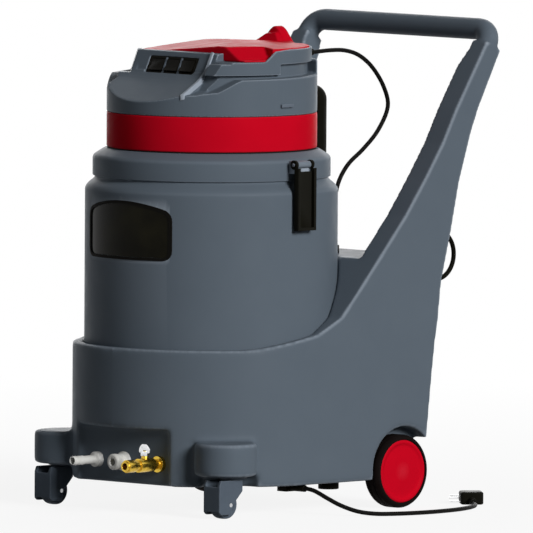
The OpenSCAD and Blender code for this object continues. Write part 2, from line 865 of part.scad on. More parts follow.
// A channel-shaped latch that hangs with its open side out
module latch() {
    web_t = 4;
    cheek_t = 5.5;
    inner_x = latch_x + 2;
    color(BLACK) from_drum_axis() difference() {
        union() {
            translate([inner_x, -latch_w / 2, latch_z - latch_l])
                cube([web_t, latch_w, latch_l - 12]);
            for (s = [-1, 1]) {
                translate([inner_x, s * (latch_w - cheek_t) / 2 - cheek_t / 2, latch_z - latch_l])
                    cube([latch_t - 2, cheek_t, latch_l - 6]);
                translate([latch_x, s * (latch_w - cheek_t) / 2, latch_z]) rotate([90, 0, 0])
                    cylinder(r = 8, h = cheek_t, center = true);
            }
            translate([inner_x, -latch_w / 2, latch_z - latch_l]) cube([latch_t - 2, latch_w, 5]);
        }
        translate([latch_x, 0, latch_z]) rotate([90, 0, 0])
            cylinder(r = latch_pin_r + pin_gap, h = latch_w + 10, center = true);
    }
}

module keeper() {
    color(SLATE) from_drum_axis() difference() {
        translate([head_r - 10, -latch_w / 2 + 8, cover_z + 14]) cube([14, latch_w - 16, 6]);
        cylinder(r = head_r, h = past, $fn = 360);
    }
}

// ---------------------------------------------------------------- vacuum inlet

module inlet_flange() {
    color(BLACK) from_drum_axis() difference() {
        union() {
            translate([-34, head_r - 20, inlet_z - 30]) cube([68, 28, 58]);
            translate([0, head_r, inlet_z]) rotate([-90, 0, 0]) cylinder(r = inlet_bore_r, h = 22);
        }
        cylinder(r = head_r, h = past);
        translate([0, head_r - 30, inlet_z]) rotate([-90, 0, 0]) cylinder(r = inlet_bore_r - 4, h = 80);
    }
}

module inlet_elbow() {
    start_y = head_r + 8.3;
    leg_y = head_r + inlet_reach;
    color(BLACK) from_drum_axis() difference() {
        union() {
            translate([0, start_y, inlet_z]) rotate([-90, 0, 0]) cylinder(r = inlet_r, h = leg_y - start_y);
            translate([0, leg_y, inlet_mouth_z]) cylinder(r = inlet_r, h = inlet_z - inlet_mouth_z);
            translate([0, leg_y, inlet_z]) sphere(inlet_r);
        }
        translate([0, start_y - 1, inlet_z]) rotate([-90, 0, 0])
            cylinder(r = inlet_bore_r + pin_gap, h = leg_y - start_y - 20);
        translate([0, start_y - 1, inlet_z]) rotate([-90, 0, 0])
            cylinder(r = inlet_bore_r - 4, h = leg_y - start_y + 1);
        translate([0, leg_y, inlet_mouth_z - 1]) cylinder(r = inlet_bore_r, h = 51);
        translate([0, leg_y, inlet_mouth_z]) cylinder(r = inlet_bore_r - 4, h = inlet_z - inlet_mouth_z);
    }
}

// ---------------------------------------------------------------- inside the head

module vacuum_motor(s) {
    base_at = plate_z + plate_t;
    color(STEEL) from_drum_axis() translate([s * motor_x, 0, base_at]) difference() {
        union() {
            cylinder(r = fan_case_r, h = fan_case_h);
            translate([0, 0, fan_case_h]) cylinder(r = fan_case_r - 18, h = motor_h);
        }
        translate([0, 0, 3]) cylinder(r = fan_case_r - 4, h = fan_case_h - 6);
        translate([0, 0, -1]) cylinder(r = 16, h = 10);
        cylinder(r = 4 + pin_gap, h = fan_case_h + 30);
    }
}

module fan(s) {
    base_at = plate_z + plate_t;
    color(CHROME) from_drum_axis() translate([s * motor_x, 0, base_at + 6]) difference() {
        union() {
            cylinder(r = fan_case_r - 8, h = fan_case_h - 14);
            cylinder(r = 4, h = fan_case_h + 20);
        }
        translate([0, 0, -1]) cylinder(r = 14, h = 5);
    }
}

module float_cage() {
    cage_r = float_r + 6;
    cage_h = 2 * float_r + float_rise + 8;
    color(BLACK) from_drum_axis() translate([0, 0, plate_z - cage_h]) difference() {
        cylinder(r = cage_r, h = cage_h);
        translate([0, 0, 4]) cylinder(r = float_r + 2, h = cage_h - 8);
        for (a = [0:60:120]) rotate([0, 0, a]) translate([-2 * cage_r, -7, 8]) cube([4 * cage_r, 14, cage_h - 16]);
    }
}

module float_ball() {
    color([0.85, 0.82, 0.72]) from_drum_axis()
        translate([0, 0, plate_z - float_r - float_rise - 3.7]) sphere(float_r);
}

// ---------------------------------------------------------------- pump lead

module lead_gland() {
    color(BLACK) from_drum_axis() difference() {
        translate([lead_x, 186, lead_top_z]) rotate([90, 0, 0]) cylinder(r = 6, h = 26);
        translate([lead_x, 190, lead_top_z]) rotate([90, 0, 0]) cylinder(r = cord_r + 0.2, h = 18);
    }
}

module lead_socket() {
    color(BLACK) from_drum_axis() translate([lead_x, lead_deck_y, deck_z]) difference() {
        cylinder(r = 11, h = 14);
        translate([0, 0, 6]) cylinder(r = cord_r + 0.2, h = 10);
    }
}

module pump_lead() {
    color(BLACK) from_drum_axis() swept_tube(LEAD_POINTS, cord_r, [1, 0, 0]);
}

// ---------------------------------------------------------------- casters

module caster_mount() {
    color(STEEL) from_drum_axis() translate([caster_x, -caster_y, 0]) {
        translate([0, 0, pad_z - 4]) cylinder(r = 25, h = 4);
        translate([0, 0, pad_z - 13]) cylinder(r = kingpin_r, h = 12);
    }
}

// A hooded fork: two cheeks, a front wall between them and the swivel head on top
module caster_fork() {
    fork_top = pad_z - 4.3;
    cheek_x = caster_w / 2 + 3;
    color(SLATE) from_drum_axis() translate([caster_x, -caster_y, 0]) difference() {
        union() {
            translate([0, 0, fork_top - 8]) cylinder(r = 15, h = 8);
            translate([-hood_w / 2, -18, fork_top - 8]) cube([hood_w, 24, 7]);
            translate([-hood_w / 2, -hood_front, 13]) cube([hood_w, 2, 2 * caster_r - 5]);
            both_sides() across(cheek_x, hood_w / 2) polygon([
                [6, fork_top - 1], [4 - hood_front, fork_top - 1], [-hood_front, 2 * caster_r + 8],
                [-hood_front, 13], [5 - hood_front, 8], [1 - caster_trail, 8],
                [6 - caster_trail, caster_r + 1], [6, 2 * caster_r - 2]
            ]);
        }
        cylinder(r = kingpin_r + pin_gap, h = fork_top + 1);
        translate([-hood_w, -caster_trail, caster_r]) rotate([0, 90, 0]) cylinder(r = 3.5, h = 2 * hood_w);
    }
}

module caster_axle() {
    color(STEEL) from_drum_axis()
        translate([caster_x - hood_w / 2 + 0.5, -caster_y - caster_trail, caster_r]) rotate([0, 90, 0])
            cylinder(r = 3.5, h = hood_w - 1);
}

module caster_wheel() {
    color(BLACK) from_drum_axis()
        translate([caster_x - caster_w / 2, -caster_y - caster_trail, caster_r]) rotate([0, 90, 0])
            difference() {
                rotate_extrude() polygon([
                    [0, 0], [caster_r - 2, 0], [caster_r, 2], [caster_r, caster_w - 2],
                    [caster_r - 2, caster_w], [0, caster_w]
                ]);
                translate([0, 0, -1]) cylinder(r = 3.5 + pin_gap, h = caster_w + 2);
            }
}

// ---------------------------------------------------------------- rear wheels

module rear_axle() {
    half = wheel_outer_x - 12;
    color(STEEL) from_drum_axis() translate([-half, axle_y, wheel_r]) rotate([0, 90, 0])
        cylinder(r = axle_r, h = 2 * half);
}

// Wheel pieces are drawn on the +X side, with x as the height of the turned outline
module turned_wheel() {
    translate([0, axle_y, wheel_r]) rotate([0, 90, 0]) rotate_extrude() children();
}

module tyre() {
    color(BLACK) from_drum_axis() turned_wheel() polygon([
        [disc_r, wheel_inner_x], [wheel_r - 4, wheel_inner_x], [wheel_r, wheel_inner_x + 4],
        [wheel_r, wheel_outer_x - 5], [wheel_r - 5, wheel_outer_x], [disc_r, wheel_outer_x]
    ]);
}

module wheel_disc() {
    bore = axle_r + pin_gap;
    color(RED) from_drum_axis() turned_wheel() polygon([
        [bore, arch_inner_x + 0.3], [18, arch_inner_x + 0.3], [18, wheel_outer_x - 16],
        [disc_r - 6, wheel_outer_x - 16], [disc_r - 6, wheel_inner_x + 2], [disc_r, wheel_inner_x + 2],
        [disc_r, wheel_outer_x - 2], [disc_r - 6, wheel_outer_x], [0, wheel_outer_x],
        [0, wheel_outer_x - 11], [bore, wheel_outer_x - 11]
    ]);
}

// ---------------------------------------------------------------- front fittings

module on_panel(x, z = fitting_z) {
    from_drum_axis() translate([x, -panel_y, z]) rotate([90, 0, 0]) children();
}

module drain_nipple() {
    color(CHROME) on_panel(-nipple_x) difference() {
        union() {
            cylinder(r = nipple_r, h = nipple_l);
            cylinder(r = nipple_r + 5, h = 6);
        }
        translate([0, 0, 8]) cylinder(r = nipple_r - 2.5, h = nipple_l);
    }
}

module solution_coupler() {
    color(CHROME) on_panel(-coupler_x) difference() {
        union() {
            cylinder(r = coupler_r, h = coupler_l);
            cylinder(r = coupler_r + 3, h = 5);
        }
        translate([0, 0, coupler_l - 20]) cylinder(r = coupler_bore_r, h = 21);
    }
}

module valve_body() {
    color(BRASS) {
        on_panel(valve_x) difference() {
            union() {
                cylinder(r = valve_r + 2, h = 8);
                cylinder(r = valve_r - 3, h = valve_l);
                translate([0, 0, 20]) cylinder(r = valve_r, h = 34);
                translate([0, 0, valve_l - 22]) cylinder(r = valve_r - 1, h = 18);
            }
            translate([0, 0, valve_l - 30]) cylinder(r = valve_r - 6, h = 31);
        }
        from_drum_axis() translate([valve_x, -panel_y - 37, fitting_z]) cylinder(r = stem_r, h = valve_r + 13);
        from_drum_axis() translate([valve_x, -panel_y - 37, fitting_z]) cylinder(r = stem_r + 3, h = valve_r + 4);
    }
}

module valve_lever() {
    color(CHROME) from_drum_axis() translate([valve_x, -panel_y - 37, fitting_z + valve_r + 4.3]) difference() {
        union() {
            cylinder(r = stem_r + 4, h = 8);
            translate([0, 1.5, 8]) rotate([90, 0, 0]) intersection() {
                cylinder(r = 13, h = 3);
                translate([-14, -2, -1]) cube([28, 14, 5]);
            }
            translate([-12, -1.5, 5]) cube([24, 3, 5]);
        }
        translate([0, 0, -1]) cylinder(r = stem_r + pin_gap, h = 10.7);
    }
}

// ---------------------------------------------------------------- cord hook and mains cord

module cord_hook() {
    color(BLACK) from_drum_axis() translate([hook_x, hook_y, hook_z]) rotate([-wall_lean, 0, 0])
        rotate([0, -90, 0]) rotate_extrude(angle = 180)
            translate([hook_bow_r, 0]) circle(hook_r);
}

module hook_ledge() {
    color(SLATE) from_drum_axis() difference() {
        translate([hook_x - 9, wall_low[0] - 10, hook_z - hook_bow_r - 14]) cube([18, 24, 5]);
        across(-base_r, base_r) side_outline();
    }
}

module cord_gland() {
    color(BLACK) from_drum_axis() difference() {
        union() {
            translate([gland_x - 30, gland_y - 12, base_z - 13]) cube([22, 24, 13]);
            translate([gland_x - 10, gland_y, gland_z]) rotate([0, 90, 0]) cylinder(r = 6, h = 36);
        }
        translate([gland_x - 5, gland_y, gland_z]) rotate([0, 90, 0]) cylinder(r = cord_r + 0.2, h = 60);
    }
}

module mains_cord() {
    color(BLACK) from_drum_axis() swept_tube(CORD_POINTS, cord_r, [0, 0, 1]);
}

module plug() {
    color(BLACK) from_drum_axis() translate(PLUG_AT) rotate([0, 0, PLUG_TURN]) difference() {
        union() {
            translate([0, 0, 4]) rotate([0, 90, 0]) cylinder(r = 4, h = 4);
            translate([2, -7, 0]) cube([20, 14, 14]);
            translate([20, -20, 0]) cube([plug_l, 40, 22]);
        }
    }
}

module plug_pins() {
    color(CHROME) from_drum_axis() translate(PLUG_AT) rotate([0, 0, PLUG_TURN]) {
        for (d = [[30, 5], [30, 15], [50, 10]])
            translate([d[0], 20, d[1] - 1]) cube([6.3, 18, 2]);
    }
}

// ---------------------------------------------------------------- drawing

base();
drum();
sight_window();
window_gasket();
head_ring();
head_seal();
motor_plate();
motor_cover();
top_lid();
switch_bezel();
rocker(-1);  // rocker_left
rocker(0);  // rocker_mid
rocker(1);  // rocker_right
mirror([1, 0, 0]) latch();  // latch_left
latch();  // latch_right
mirror([1, 0, 0]) latch_bracket();  // latch_bracket_left
latch_bracket();  // latch_bracket_right
mirror([1, 0, 0]) keeper();  // keeper_left
keeper();  // keeper_right
inlet_flange();
inlet_elbow();
vacuum_motor(-1);  // vacuum_motor_left
vacuum_motor(1);  // vacuum_motor_right
fan(-1);  // fan_left
fan(1);  // fan_right
float_cage();
float_ball();
lead_gland();
lead_socket();
pump_lead();
mirror([1, 0, 0]) caster_mount();  // caster_mount_left
caster_mount();  // caster_mount_right
mirror([1, 0, 0]) caster_fork();  // caster_fork_left
caster_fork();  // caster_fork_right
mirror([1, 0, 0]) caster_axle();  // caster_axle_left
caster_axle();  // caster_axle_right
mirror([1, 0, 0]) caster_wheel();  // caster_wheel_left
caster_wheel();  // caster_wheel_right
rear_axle();
mirror([1, 0, 0]) tyre();  // tyre_left
tyre();  // tyre_right
mirror([1, 0, 0]) wheel_disc();  // wheel_disc_left
wheel_disc();  // wheel_disc_right
drain_nipple();
solution_coupler();
valve_body();
valve_lever();
pump_motor();
pump();
bay_cover();
filler_neck();
filler_cap();
drain_cap();
cord_hook();
hook_ledge();
cord_gland();
mains_cord();
plug();
plug_pins();
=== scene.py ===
"""Carpet cleaner machine: its looks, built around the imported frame.

The moulded tank base, the drum, the motor head, the latches, the fittings, the wheels and the
cords are modelled over the solids that they stand for. Each solid that stays in sight keeps its
shape and gets a finish of its own. Everything is in metres, in the frame's own coordinates.
"""

import logging
import math
from dataclasses import dataclass
from enum import Enum
from typing import Sequence

import bpy
from mathutils import Euler, Matrix, Vector


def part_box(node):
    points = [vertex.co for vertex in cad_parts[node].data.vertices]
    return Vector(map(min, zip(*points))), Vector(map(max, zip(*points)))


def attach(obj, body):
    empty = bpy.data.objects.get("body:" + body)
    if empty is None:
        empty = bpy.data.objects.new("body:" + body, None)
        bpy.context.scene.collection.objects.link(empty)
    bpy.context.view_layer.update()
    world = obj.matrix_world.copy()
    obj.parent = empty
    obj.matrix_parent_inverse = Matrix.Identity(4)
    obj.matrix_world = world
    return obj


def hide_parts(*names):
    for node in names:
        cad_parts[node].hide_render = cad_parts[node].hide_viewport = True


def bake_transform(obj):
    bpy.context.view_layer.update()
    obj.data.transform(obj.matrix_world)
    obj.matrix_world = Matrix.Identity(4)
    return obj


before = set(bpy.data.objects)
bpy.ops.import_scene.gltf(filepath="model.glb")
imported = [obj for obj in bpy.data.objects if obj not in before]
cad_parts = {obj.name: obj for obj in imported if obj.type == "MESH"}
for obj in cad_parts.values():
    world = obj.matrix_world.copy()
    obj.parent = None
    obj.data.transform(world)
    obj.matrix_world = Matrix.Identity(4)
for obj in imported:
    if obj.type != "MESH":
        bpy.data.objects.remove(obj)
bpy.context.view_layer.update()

MM = 0.001
# Corners nearer to each other than this are one corner.
MERGED = 0.01 * MM
# The longest share of a side that the rounding of one of its corners takes.
ARC_SHARE = 0.48
WHITE = "#FFFFFF"
log = logging.getLogger("carpet_cleaner")

Piece = bpy.types.Object
Tree = bpy.types.NodeTree
Node = bpy.types.Node
Socket = bpy.types.NodeSocket
Place = tuple[float, float, float]
Points = list[tuple[float, float]]
Outline = Sequence[tuple[float, float]]
Corners = Sequence[Place]


class Direction(Enum):
    """The way a turned or drawn-out piece points, as the angles that carry +Z there."""

    UP = (0, 0, 0)
    FRONT = (math.pi / 2, 0, 0)
    SIDE = (0, math.pi / 2, 0)
    SECTION = (math.pi / 2, 0, math.pi / 2)

    @property
    def turn(self) -> Euler:
        """The angles as one turn."""
        return Euler(self.value)


class Side(Enum):
    """The machine's left and right, as someone in front of it sees them."""

    LEFT = -1
    RIGHT = 1

    @property
    def word(self) -> str:
        """The side's name, as the frame's nodes spell it."""
        return self.name.lower()


# ---- workbench


def drum_axis() -> Vector:
    """The point on the floor under the drum's upright axis."""
    low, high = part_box("drum")
    return Vector(((low.x + high.x) / 2, (low.y + high.y) / 2, 0))


AXIS = drum_axis()


def at(x: float, y: float, z: float) -> Vector:
    """A place given in millimetres from the drum's axis, in the frame's metres."""
    return AXIS + Vector((x, y, z)) * MM


def leave() -> None:
    """Goes back to object mode."""
    bpy.ops.object.mode_set(mode="OBJECT")


def edit(action: str = "SELECT") -> None:
    """Opens the active piece's mesh and selects all of it, or none."""
    bpy.ops.object.mode_set(mode="EDIT")
    bpy.ops.mesh.select_all(action=action)


def clear() -> None:
    """Leaves edit mode and deselects every object."""
    if bpy.context.object and bpy.context.object.mode != "OBJECT":
        leave()
    bpy.ops.object.select_all(action="DESELECT")


def pick(piece: Piece) -> None:
    """Makes one piece the only one selected, and the active one.

    Args:
        piece: The piece.
    """
    clear()
    piece.select_set(True)
    bpy.context.view_layer.objects.active = piece


def link(piece: Piece) -> None:
    """Puts a new object into the scene."""
    bpy.context.scene.collection.objects.link(piece)


def start(name: str) -> Piece:
    """Names the primitive that was just added, and opens its mesh with all of it selected.

    Args:
        name: The name that it gets.

    Returns:
        The primitive.
    """
    piece = bpy.context.object
    piece.name = piece.data.name = name
    edit()
    return piece


def settle(piece: Piece, smooth_angle: float = 40) -> None:
    """Merges doubles, turns the faces outwards, puts the place into the mesh and shades it.

    Args:
        piece: The piece to finish.
        smooth_angle: Edges sharper than this many degrees stay sharp.
    """
    pick(piece)
    edit()
    bpy.ops.mesh.remove_doubles(threshold=MERGED)
    bpy.ops.mesh.normals_make_consistent(inside=False)
    leave()
    bpy.ops.object.transform_apply(location=True, rotation=True, scale=True)
    bpy.ops.object.shade_smooth_by_angle(angle=math.radians(smooth_angle))


def placed(piece: Piece, place: Vector, turn: Euler) -> Piece:
    """Takes a piece that was made at the origin to its place and finishes it.

    Args:
        piece: The piece, with its mesh open.
        place: Where its origin goes.
        turn: How it is turned.

    Returns:
        The piece.
    """
    leave()
    piece.rotation_euler = turn
    piece.location = place
    settle(piece)
    return piece


def modify(piece: Piece, kind: str, **settings: object) -> None:
    """Adds one modifier to a piece and applies it.

    Args:
        piece: The piece.
        kind: The modifier's type.
        **settings: The modifier's settings.
    """
    pick(piece)
    modifier = piece.modifiers.new(kind.title(), kind)
    for key, value in settings.items():
        setattr(modifier, key, value)
    bpy.ops.object.modifier_apply(modifier=modifier.name)


def rounded(corners: Corners, steps: int = 4) -> Points:
    """Turns the inner corners of an outline into arcs.

    Args:
        corners: Points (a, b, size of the rounding), all in one unit.
        steps: Pieces of each arc.

    Returns:
        The outline's points.
    """
    points: Points = []
    for k, (a, b, size) in enumerate(corners):
        here = Vector((a, b))
        if size <= 0 or k in (0, len(corners) - 1):
            points.append((a, b))
            continue
        before = Vector(corners[k - 1][:2]) - here
        after = Vector(corners[k + 1][:2]) - here
        first = here + before.normalized() * min(size, before.length * ARC_SHARE)
        last = here + after.normalized() * min(size, after.length * ARC_SHARE)
        for i in range(steps + 1):
            t = i / steps
            points.append(tuple((1 - t) ** 2 * first + 2 * t * (1 - t) * here + t * t * last))
    return points


def closed(corners: Corners, steps: int = 4) -> Points:
    """The same for an outline whose last corner joins its first, each corner rounded."""
    return rounded([corners[-1], *corners, corners[0]], steps)[1:-1]


def loop(corners: Corners, steps: int = 4) -> Points:
    """A closed outline that ends on its first point, which turned() makes a ring of."""
    ring = closed(corners, steps)
    return [*ring, ring[0]]


def fill_open_edges() -> None:
    """Closes the holes of the mesh in edit mode with flat faces."""
    bpy.ops.mesh.select_mode(type="EDGE")
    bpy.ops.mesh.select_all(action="DESELECT")
    bpy.ops.mesh.select_non_manifold()
    bpy.ops.mesh.fill_holes(sides=0)
    bpy.ops.mesh.select_mode(type="VERT")


def turned(name: str, outline: Outline, place: Vector = AXIS, way: Direction = Direction.UP,
           sides: int = 96) -> Piece:
    """A turned piece: a ring of corners carried along an outline by extrude and resize.

    Args:
        name: The piece's name.
        outline: Points (radius, distance along the axis) in millimetres, none with radius 0.
            An outline that ends where it starts makes a closed ring, and any other is capped.
        place: The axis's foot, in metres.
        way: Where the axis points.
        sides: Corners round the ring.

    Returns:
        The finished piece.
    """
    clear()
    radius, height = outline[0]
    bpy.ops.mesh.primitive_circle_add(vertices=sides, radius=radius * MM, location=(0, 0, 0))
    piece = start(name)
    bpy.ops.transform.translate(value=(0, 0, height * MM))
    for (r0, h0), (r1, h1) in zip(outline, outline[1:]):
        bpy.ops.mesh.extrude_region_move(TRANSFORM_OT_translate={"value": (0, 0, (h1 - h0) * MM)})
        if not math.isclose(r0, r1):
            bpy.ops.transform.resize(value=(r1 / r0, r1 / r0, 1), center_override=(0, 0, 0))
    bpy.ops.mesh.select_all(action="SELECT")
    bpy.ops.mesh.remove_doubles(threshold=MERGED / 2)
    fill_open_edges()
    return placed(piece, place, way.turn)


def slab(name: str, outline: Outline, depth: float, place: Vector, turn: Euler) -> Piece:
    """A flat outline drawn out into a slab.

    Args:
        name: The piece's name.
        outline: Points (across, up) in millimetres, in order round the outline.
        depth: The slab's thickness in millimetres, towards its local +Z.
        place: The outline's origin, in metres.
        turn: The turn from the XY plane to where the slab lies.

    Returns:
        The finished slab.
    """
    clear()
    bpy.ops.mesh.primitive_circle_add(vertices=len(outline), radius=MM, fill_type="NGON")
    for corner, (a, b) in zip(bpy.context.object.data.vertices, outline):
        corner.co = (a * MM, b * MM, 0)
    piece = start(name)
    bpy.ops.mesh.extrude_region_move(TRANSFORM_OT_translate={"value": (0, 0, depth * MM)})
    return placed(piece, place, turn)


def block(name: str, low: Vector, high: Vector, edge: float, steps: int = 1) -> Piece:
    """A box with rounded edges between two corners, the rounding in millimetres.

    Args:
        name: The box's name.
        low: Its low corner.
        high: Its high corner.
        edge: The edges' radius in millimetres.
        steps: The steps round an edge.

    Returns:
        The box.
    """
    clear()
    bpy.ops.mesh.primitive_cube_add(size=1, location=(low + high) / 2, scale=high - low)
    bpy.ops.object.transform_apply(location=True, rotation=True, scale=True)
    piece = start(name)
    bpy.ops.mesh.bevel(offset=edge * MM, segments=steps, affect="EDGES")
    settle(piece)
    return piece


def copy_of(node: str, name: str) -> Piece:
    """A merged copy of a frame node's mesh under a new name, free to be shaped, with no finish.

    Args:
        node: The frame node's name.
        name: The copy's name.

    Returns:
        The copy.
    """
    piece = bpy.data.objects.new(name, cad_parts[node].data.copy())
    piece.data.name = name
    link(piece)
    piece.data.materials.clear()
    pick(piece)
    bpy.ops.mesh.customdata_custom_splitnormals_clear()
    edit()
    bpy.ops.mesh.remove_doubles(threshold=2 * MERGED)
    leave()
    return piece


def bevelled(piece: Piece, edge: float, steps: int, angle: float, **settings: object) -> None:
    """Rounds a piece's edges that are sharper than an angle in degrees, by some millimetres."""
    modify(piece, "BEVEL", width=edge * MM, segments=steps, limit_method="ANGLE",
           angle_limit=math.radians(angle), **settings)


def skinned(piece: Piece, voxel: float, passes: int, keep: float) -> None:
    """Gives a piece one even skin and softens its edges, as a mould with round corners does.

    Args:
        piece: The piece to work on.
        voxel: Mesh size of the new skin, in millimetres.
        passes: How many times the skin is smoothed.
        keep: Share of the skin's faces that stays.
    """
    modify(piece, "REMESH", mode="VOXEL", voxel_size=voxel * MM)
    modify(piece, "SMOOTH", factor=0.5, iterations=passes)
    modify(piece, "DECIMATE", ratio=keep)
    pick(piece)
    bpy.ops.object.shade_smooth()


def cut(piece: Piece, *tools: Piece, how: str = "DIFFERENCE") -> None:
    """Takes tools out of a piece, one after the other; each is used up.

    Args:
        piece: The piece.
        *tools: What is taken out.
        how: The boolean's operation.
    """
    for tool in tools:
        modify(piece, "BOOLEAN", object=tool, operation=how, solver="EXACT")
        bpy.data.objects.remove(tool)


def kept_within(piece: Piece, tool: Piece) -> None:
    """Keeps what of a piece lies inside a tool, which is used up."""
    cut(piece, tool, how="INTERSECT")


def curve_through(points: Sequence[Vector], per_span: int) -> list[Vector]:
    """A smooth line through given points, which it holds, with so many steps between two.

    Args:
        points: The hand-set points.
        per_span: The steps between two.

    Returns:
        The line's points.
    """
    ends = [2 * points[0] - points[1], *points, 2 * points[-1] - points[-2]]
    line: list[Vector] = []
    for p0, p1, p2, p3 in zip(ends, ends[1:], ends[2:], ends[3:]):
        for k in range(per_span):
            t = k / per_span
            line.append(0.5 * (2 * p1 + (p2 - p0) * t + (2 * p0 - 5 * p1 + 4 * p2 - p3) * t * t
                               + (3 * p1 - p0 - 3 * p2 + p3) * t ** 3))
    return [*line, points[-1].copy()]


def length_of(line: Sequence[Vector]) -> float:
    """The length of a line of points."""
    return sum((b - a).length for a, b in zip(line, line[1:]))


def drawn_curve(name: str, line: Sequence[Vector], radius: float) -> Piece:
    """A round cord along a line of points, as one spline, its radius in metres.

    Args:
        name: The cord's name.
        line: The points of its middle line.
        radius: Its radius in metres.

    Returns:
        The cord.
    """
    data = bpy.data.curves.new(name, "CURVE")
    data.dimensions = "3D"
    data.bevel_depth = radius
    data.bevel_resolution = 6
    data.use_fill_caps = True
    spline = data.splines.new("POLY")
    spline.points.add(len(line) - 1)
    for point, place in zip(spline.points, line):
        point.co = (*place, 1)
    piece = bpy.data.objects.new(name, data)
    link(piece)
    return piece


def joined(name: str, pieces: Sequence[Piece]) -> Piece:
    """Joins pieces of one finish into one object.

    Args:
        name: The name of the whole.
        pieces: The pieces.

    Returns:
        The whole.
    """
    pick(pieces[0])
    for piece in pieces:
        piece.select_set(True)
    bpy.ops.object.join()
    pieces[0].name = pieces[0].data.name = name
    return pieces[0]


def stand_in(piece: Piece, body: str, finish: "Finish", *nodes: str) -> None:
    """Gives a finished piece its finish, its body and the nodes that it stands for.

    Args:
        piece: The piece.
        body: The frame body that it rides on.
        finish: Its finish.
        nodes: The frame nodes that it replaces.
    """
    piece.data.materials.clear()
    piece.data.materials.append(finish.material())
    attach(piece, body)
    if nodes:
        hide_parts(*nodes)
    log.info("%s rides on %s, for %s", piece.name, body, ", ".join(nodes) or "detail")


def soften(ending: str, edge: float, finish: "Finish", body: str | None, *nodes: str) -> None:
    """Lets a copy with rounded edges stand in for each of some nodes.

    Args:
        ending: What each copy's name adds to its node's name.
        edge: Size of the rounding in millimetres.
        finish: The copies' finish.
        body: The body that they ride on; None is each node's own, which has the node's name.
        nodes: The nodes.
    """
    for node in nodes:
        piece = copy_of(node, f"{node}_{ending}")
        modify(piece, "DECIMATE", decimate_type="DISSOLVE", angle_limit=math.radians(1.5))
        bevelled(piece, edge, steps=3, angle=28, use_clamp_overlap=True, miter_outer="MITER_ARC")
        settle(piece, smooth_angle=35)
        stand_in(piece, body or node, finish, node)


def dress(finish: "Finish", *nodes: str) -> None:
    """Gives frame nodes that keep their shape a finish.

    Args:
        finish: The finish.
        *nodes: The nodes' names.
    """
    for node in nodes:
        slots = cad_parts[node].data.materials
        if not slots:
            slots.append(finish.material())
        for k in range(len(slots)):
            slots[k] = finish.material()
    log.info("%s on %s", finish.name, ", ".join(nodes))


# ---- finishes


def linear(hex_colour: str) -> tuple[float, float, float, float]:
    """An sRGB hex colour as linear RGBA.

    Args:
        hex_colour: The colour, as in "#34383e".

    Returns:
        Red, green, blue and alpha.
    """
    parts = [int(hex_colour.lstrip("#")[k:k + 2], 16) / 255 for k in (0, 2, 4)]
    red, green, blue = (c / 12.92 if c <= 0.04045 else ((c + 0.055) / 1.055) ** 2.4 for c in parts)
    return red, green, blue, 1.0


def feed(tree: Tree, node: Node, links: dict) -> None:
    """Sets a node's inputs, by name or index, each to a value, a socket or a node's first output.

    Args:
        tree: The shader's nodes.
        node: The node.
        links: What each input gets.
    """
    for key, value in links.items():
        if isinstance(value, Node):
            value = value.outputs[0]
        if isinstance(value, Socket):
            tree.links.new(value, node.inputs[key])
        else:
            node.inputs[key].default_value = value


def add(tree: Tree, kind: str, links: dict | None = None, **settings: object) -> Node:
    """Adds one shader node.

    Args:
        tree: The material's or world's node tree.
        kind: The node's type.
        links: What feed() sets its inputs to.
        settings: The node's own properties.

    Returns:
        The node.
    """
    made = tree.nodes.new(kind)
    for key, value in settings.items():
        setattr(made, key, value)
    feed(tree, made, links or {})
    return made


@dataclass(frozen=True)
class Finish:
    """What every finish has: a name and a material slot."""

    name: str
    slot: str

    def material(self) -> bpy.types.Material:
        """The finish's material, made once.

        Returns:
            The material.
        """
        found = bpy.data.materials.get(self.name)
        if found:
            return found
        made = bpy.data.materials.new(self.name)
        made.use_nodes = True
        tree = made.node_tree
        shader = next(n for n in tree.nodes if n.type == "BSDF_PRINCIPLED")
        feed(tree, shader, self.paint(tree, add(tree, "ShaderNodeTexCoord").outputs["Object"]))
        return made

    def paint(self, tree: Tree, place: Socket) -> dict:
        """What the shader's inputs are fed, from the object's own coordinates."""
        raise NotImplementedError


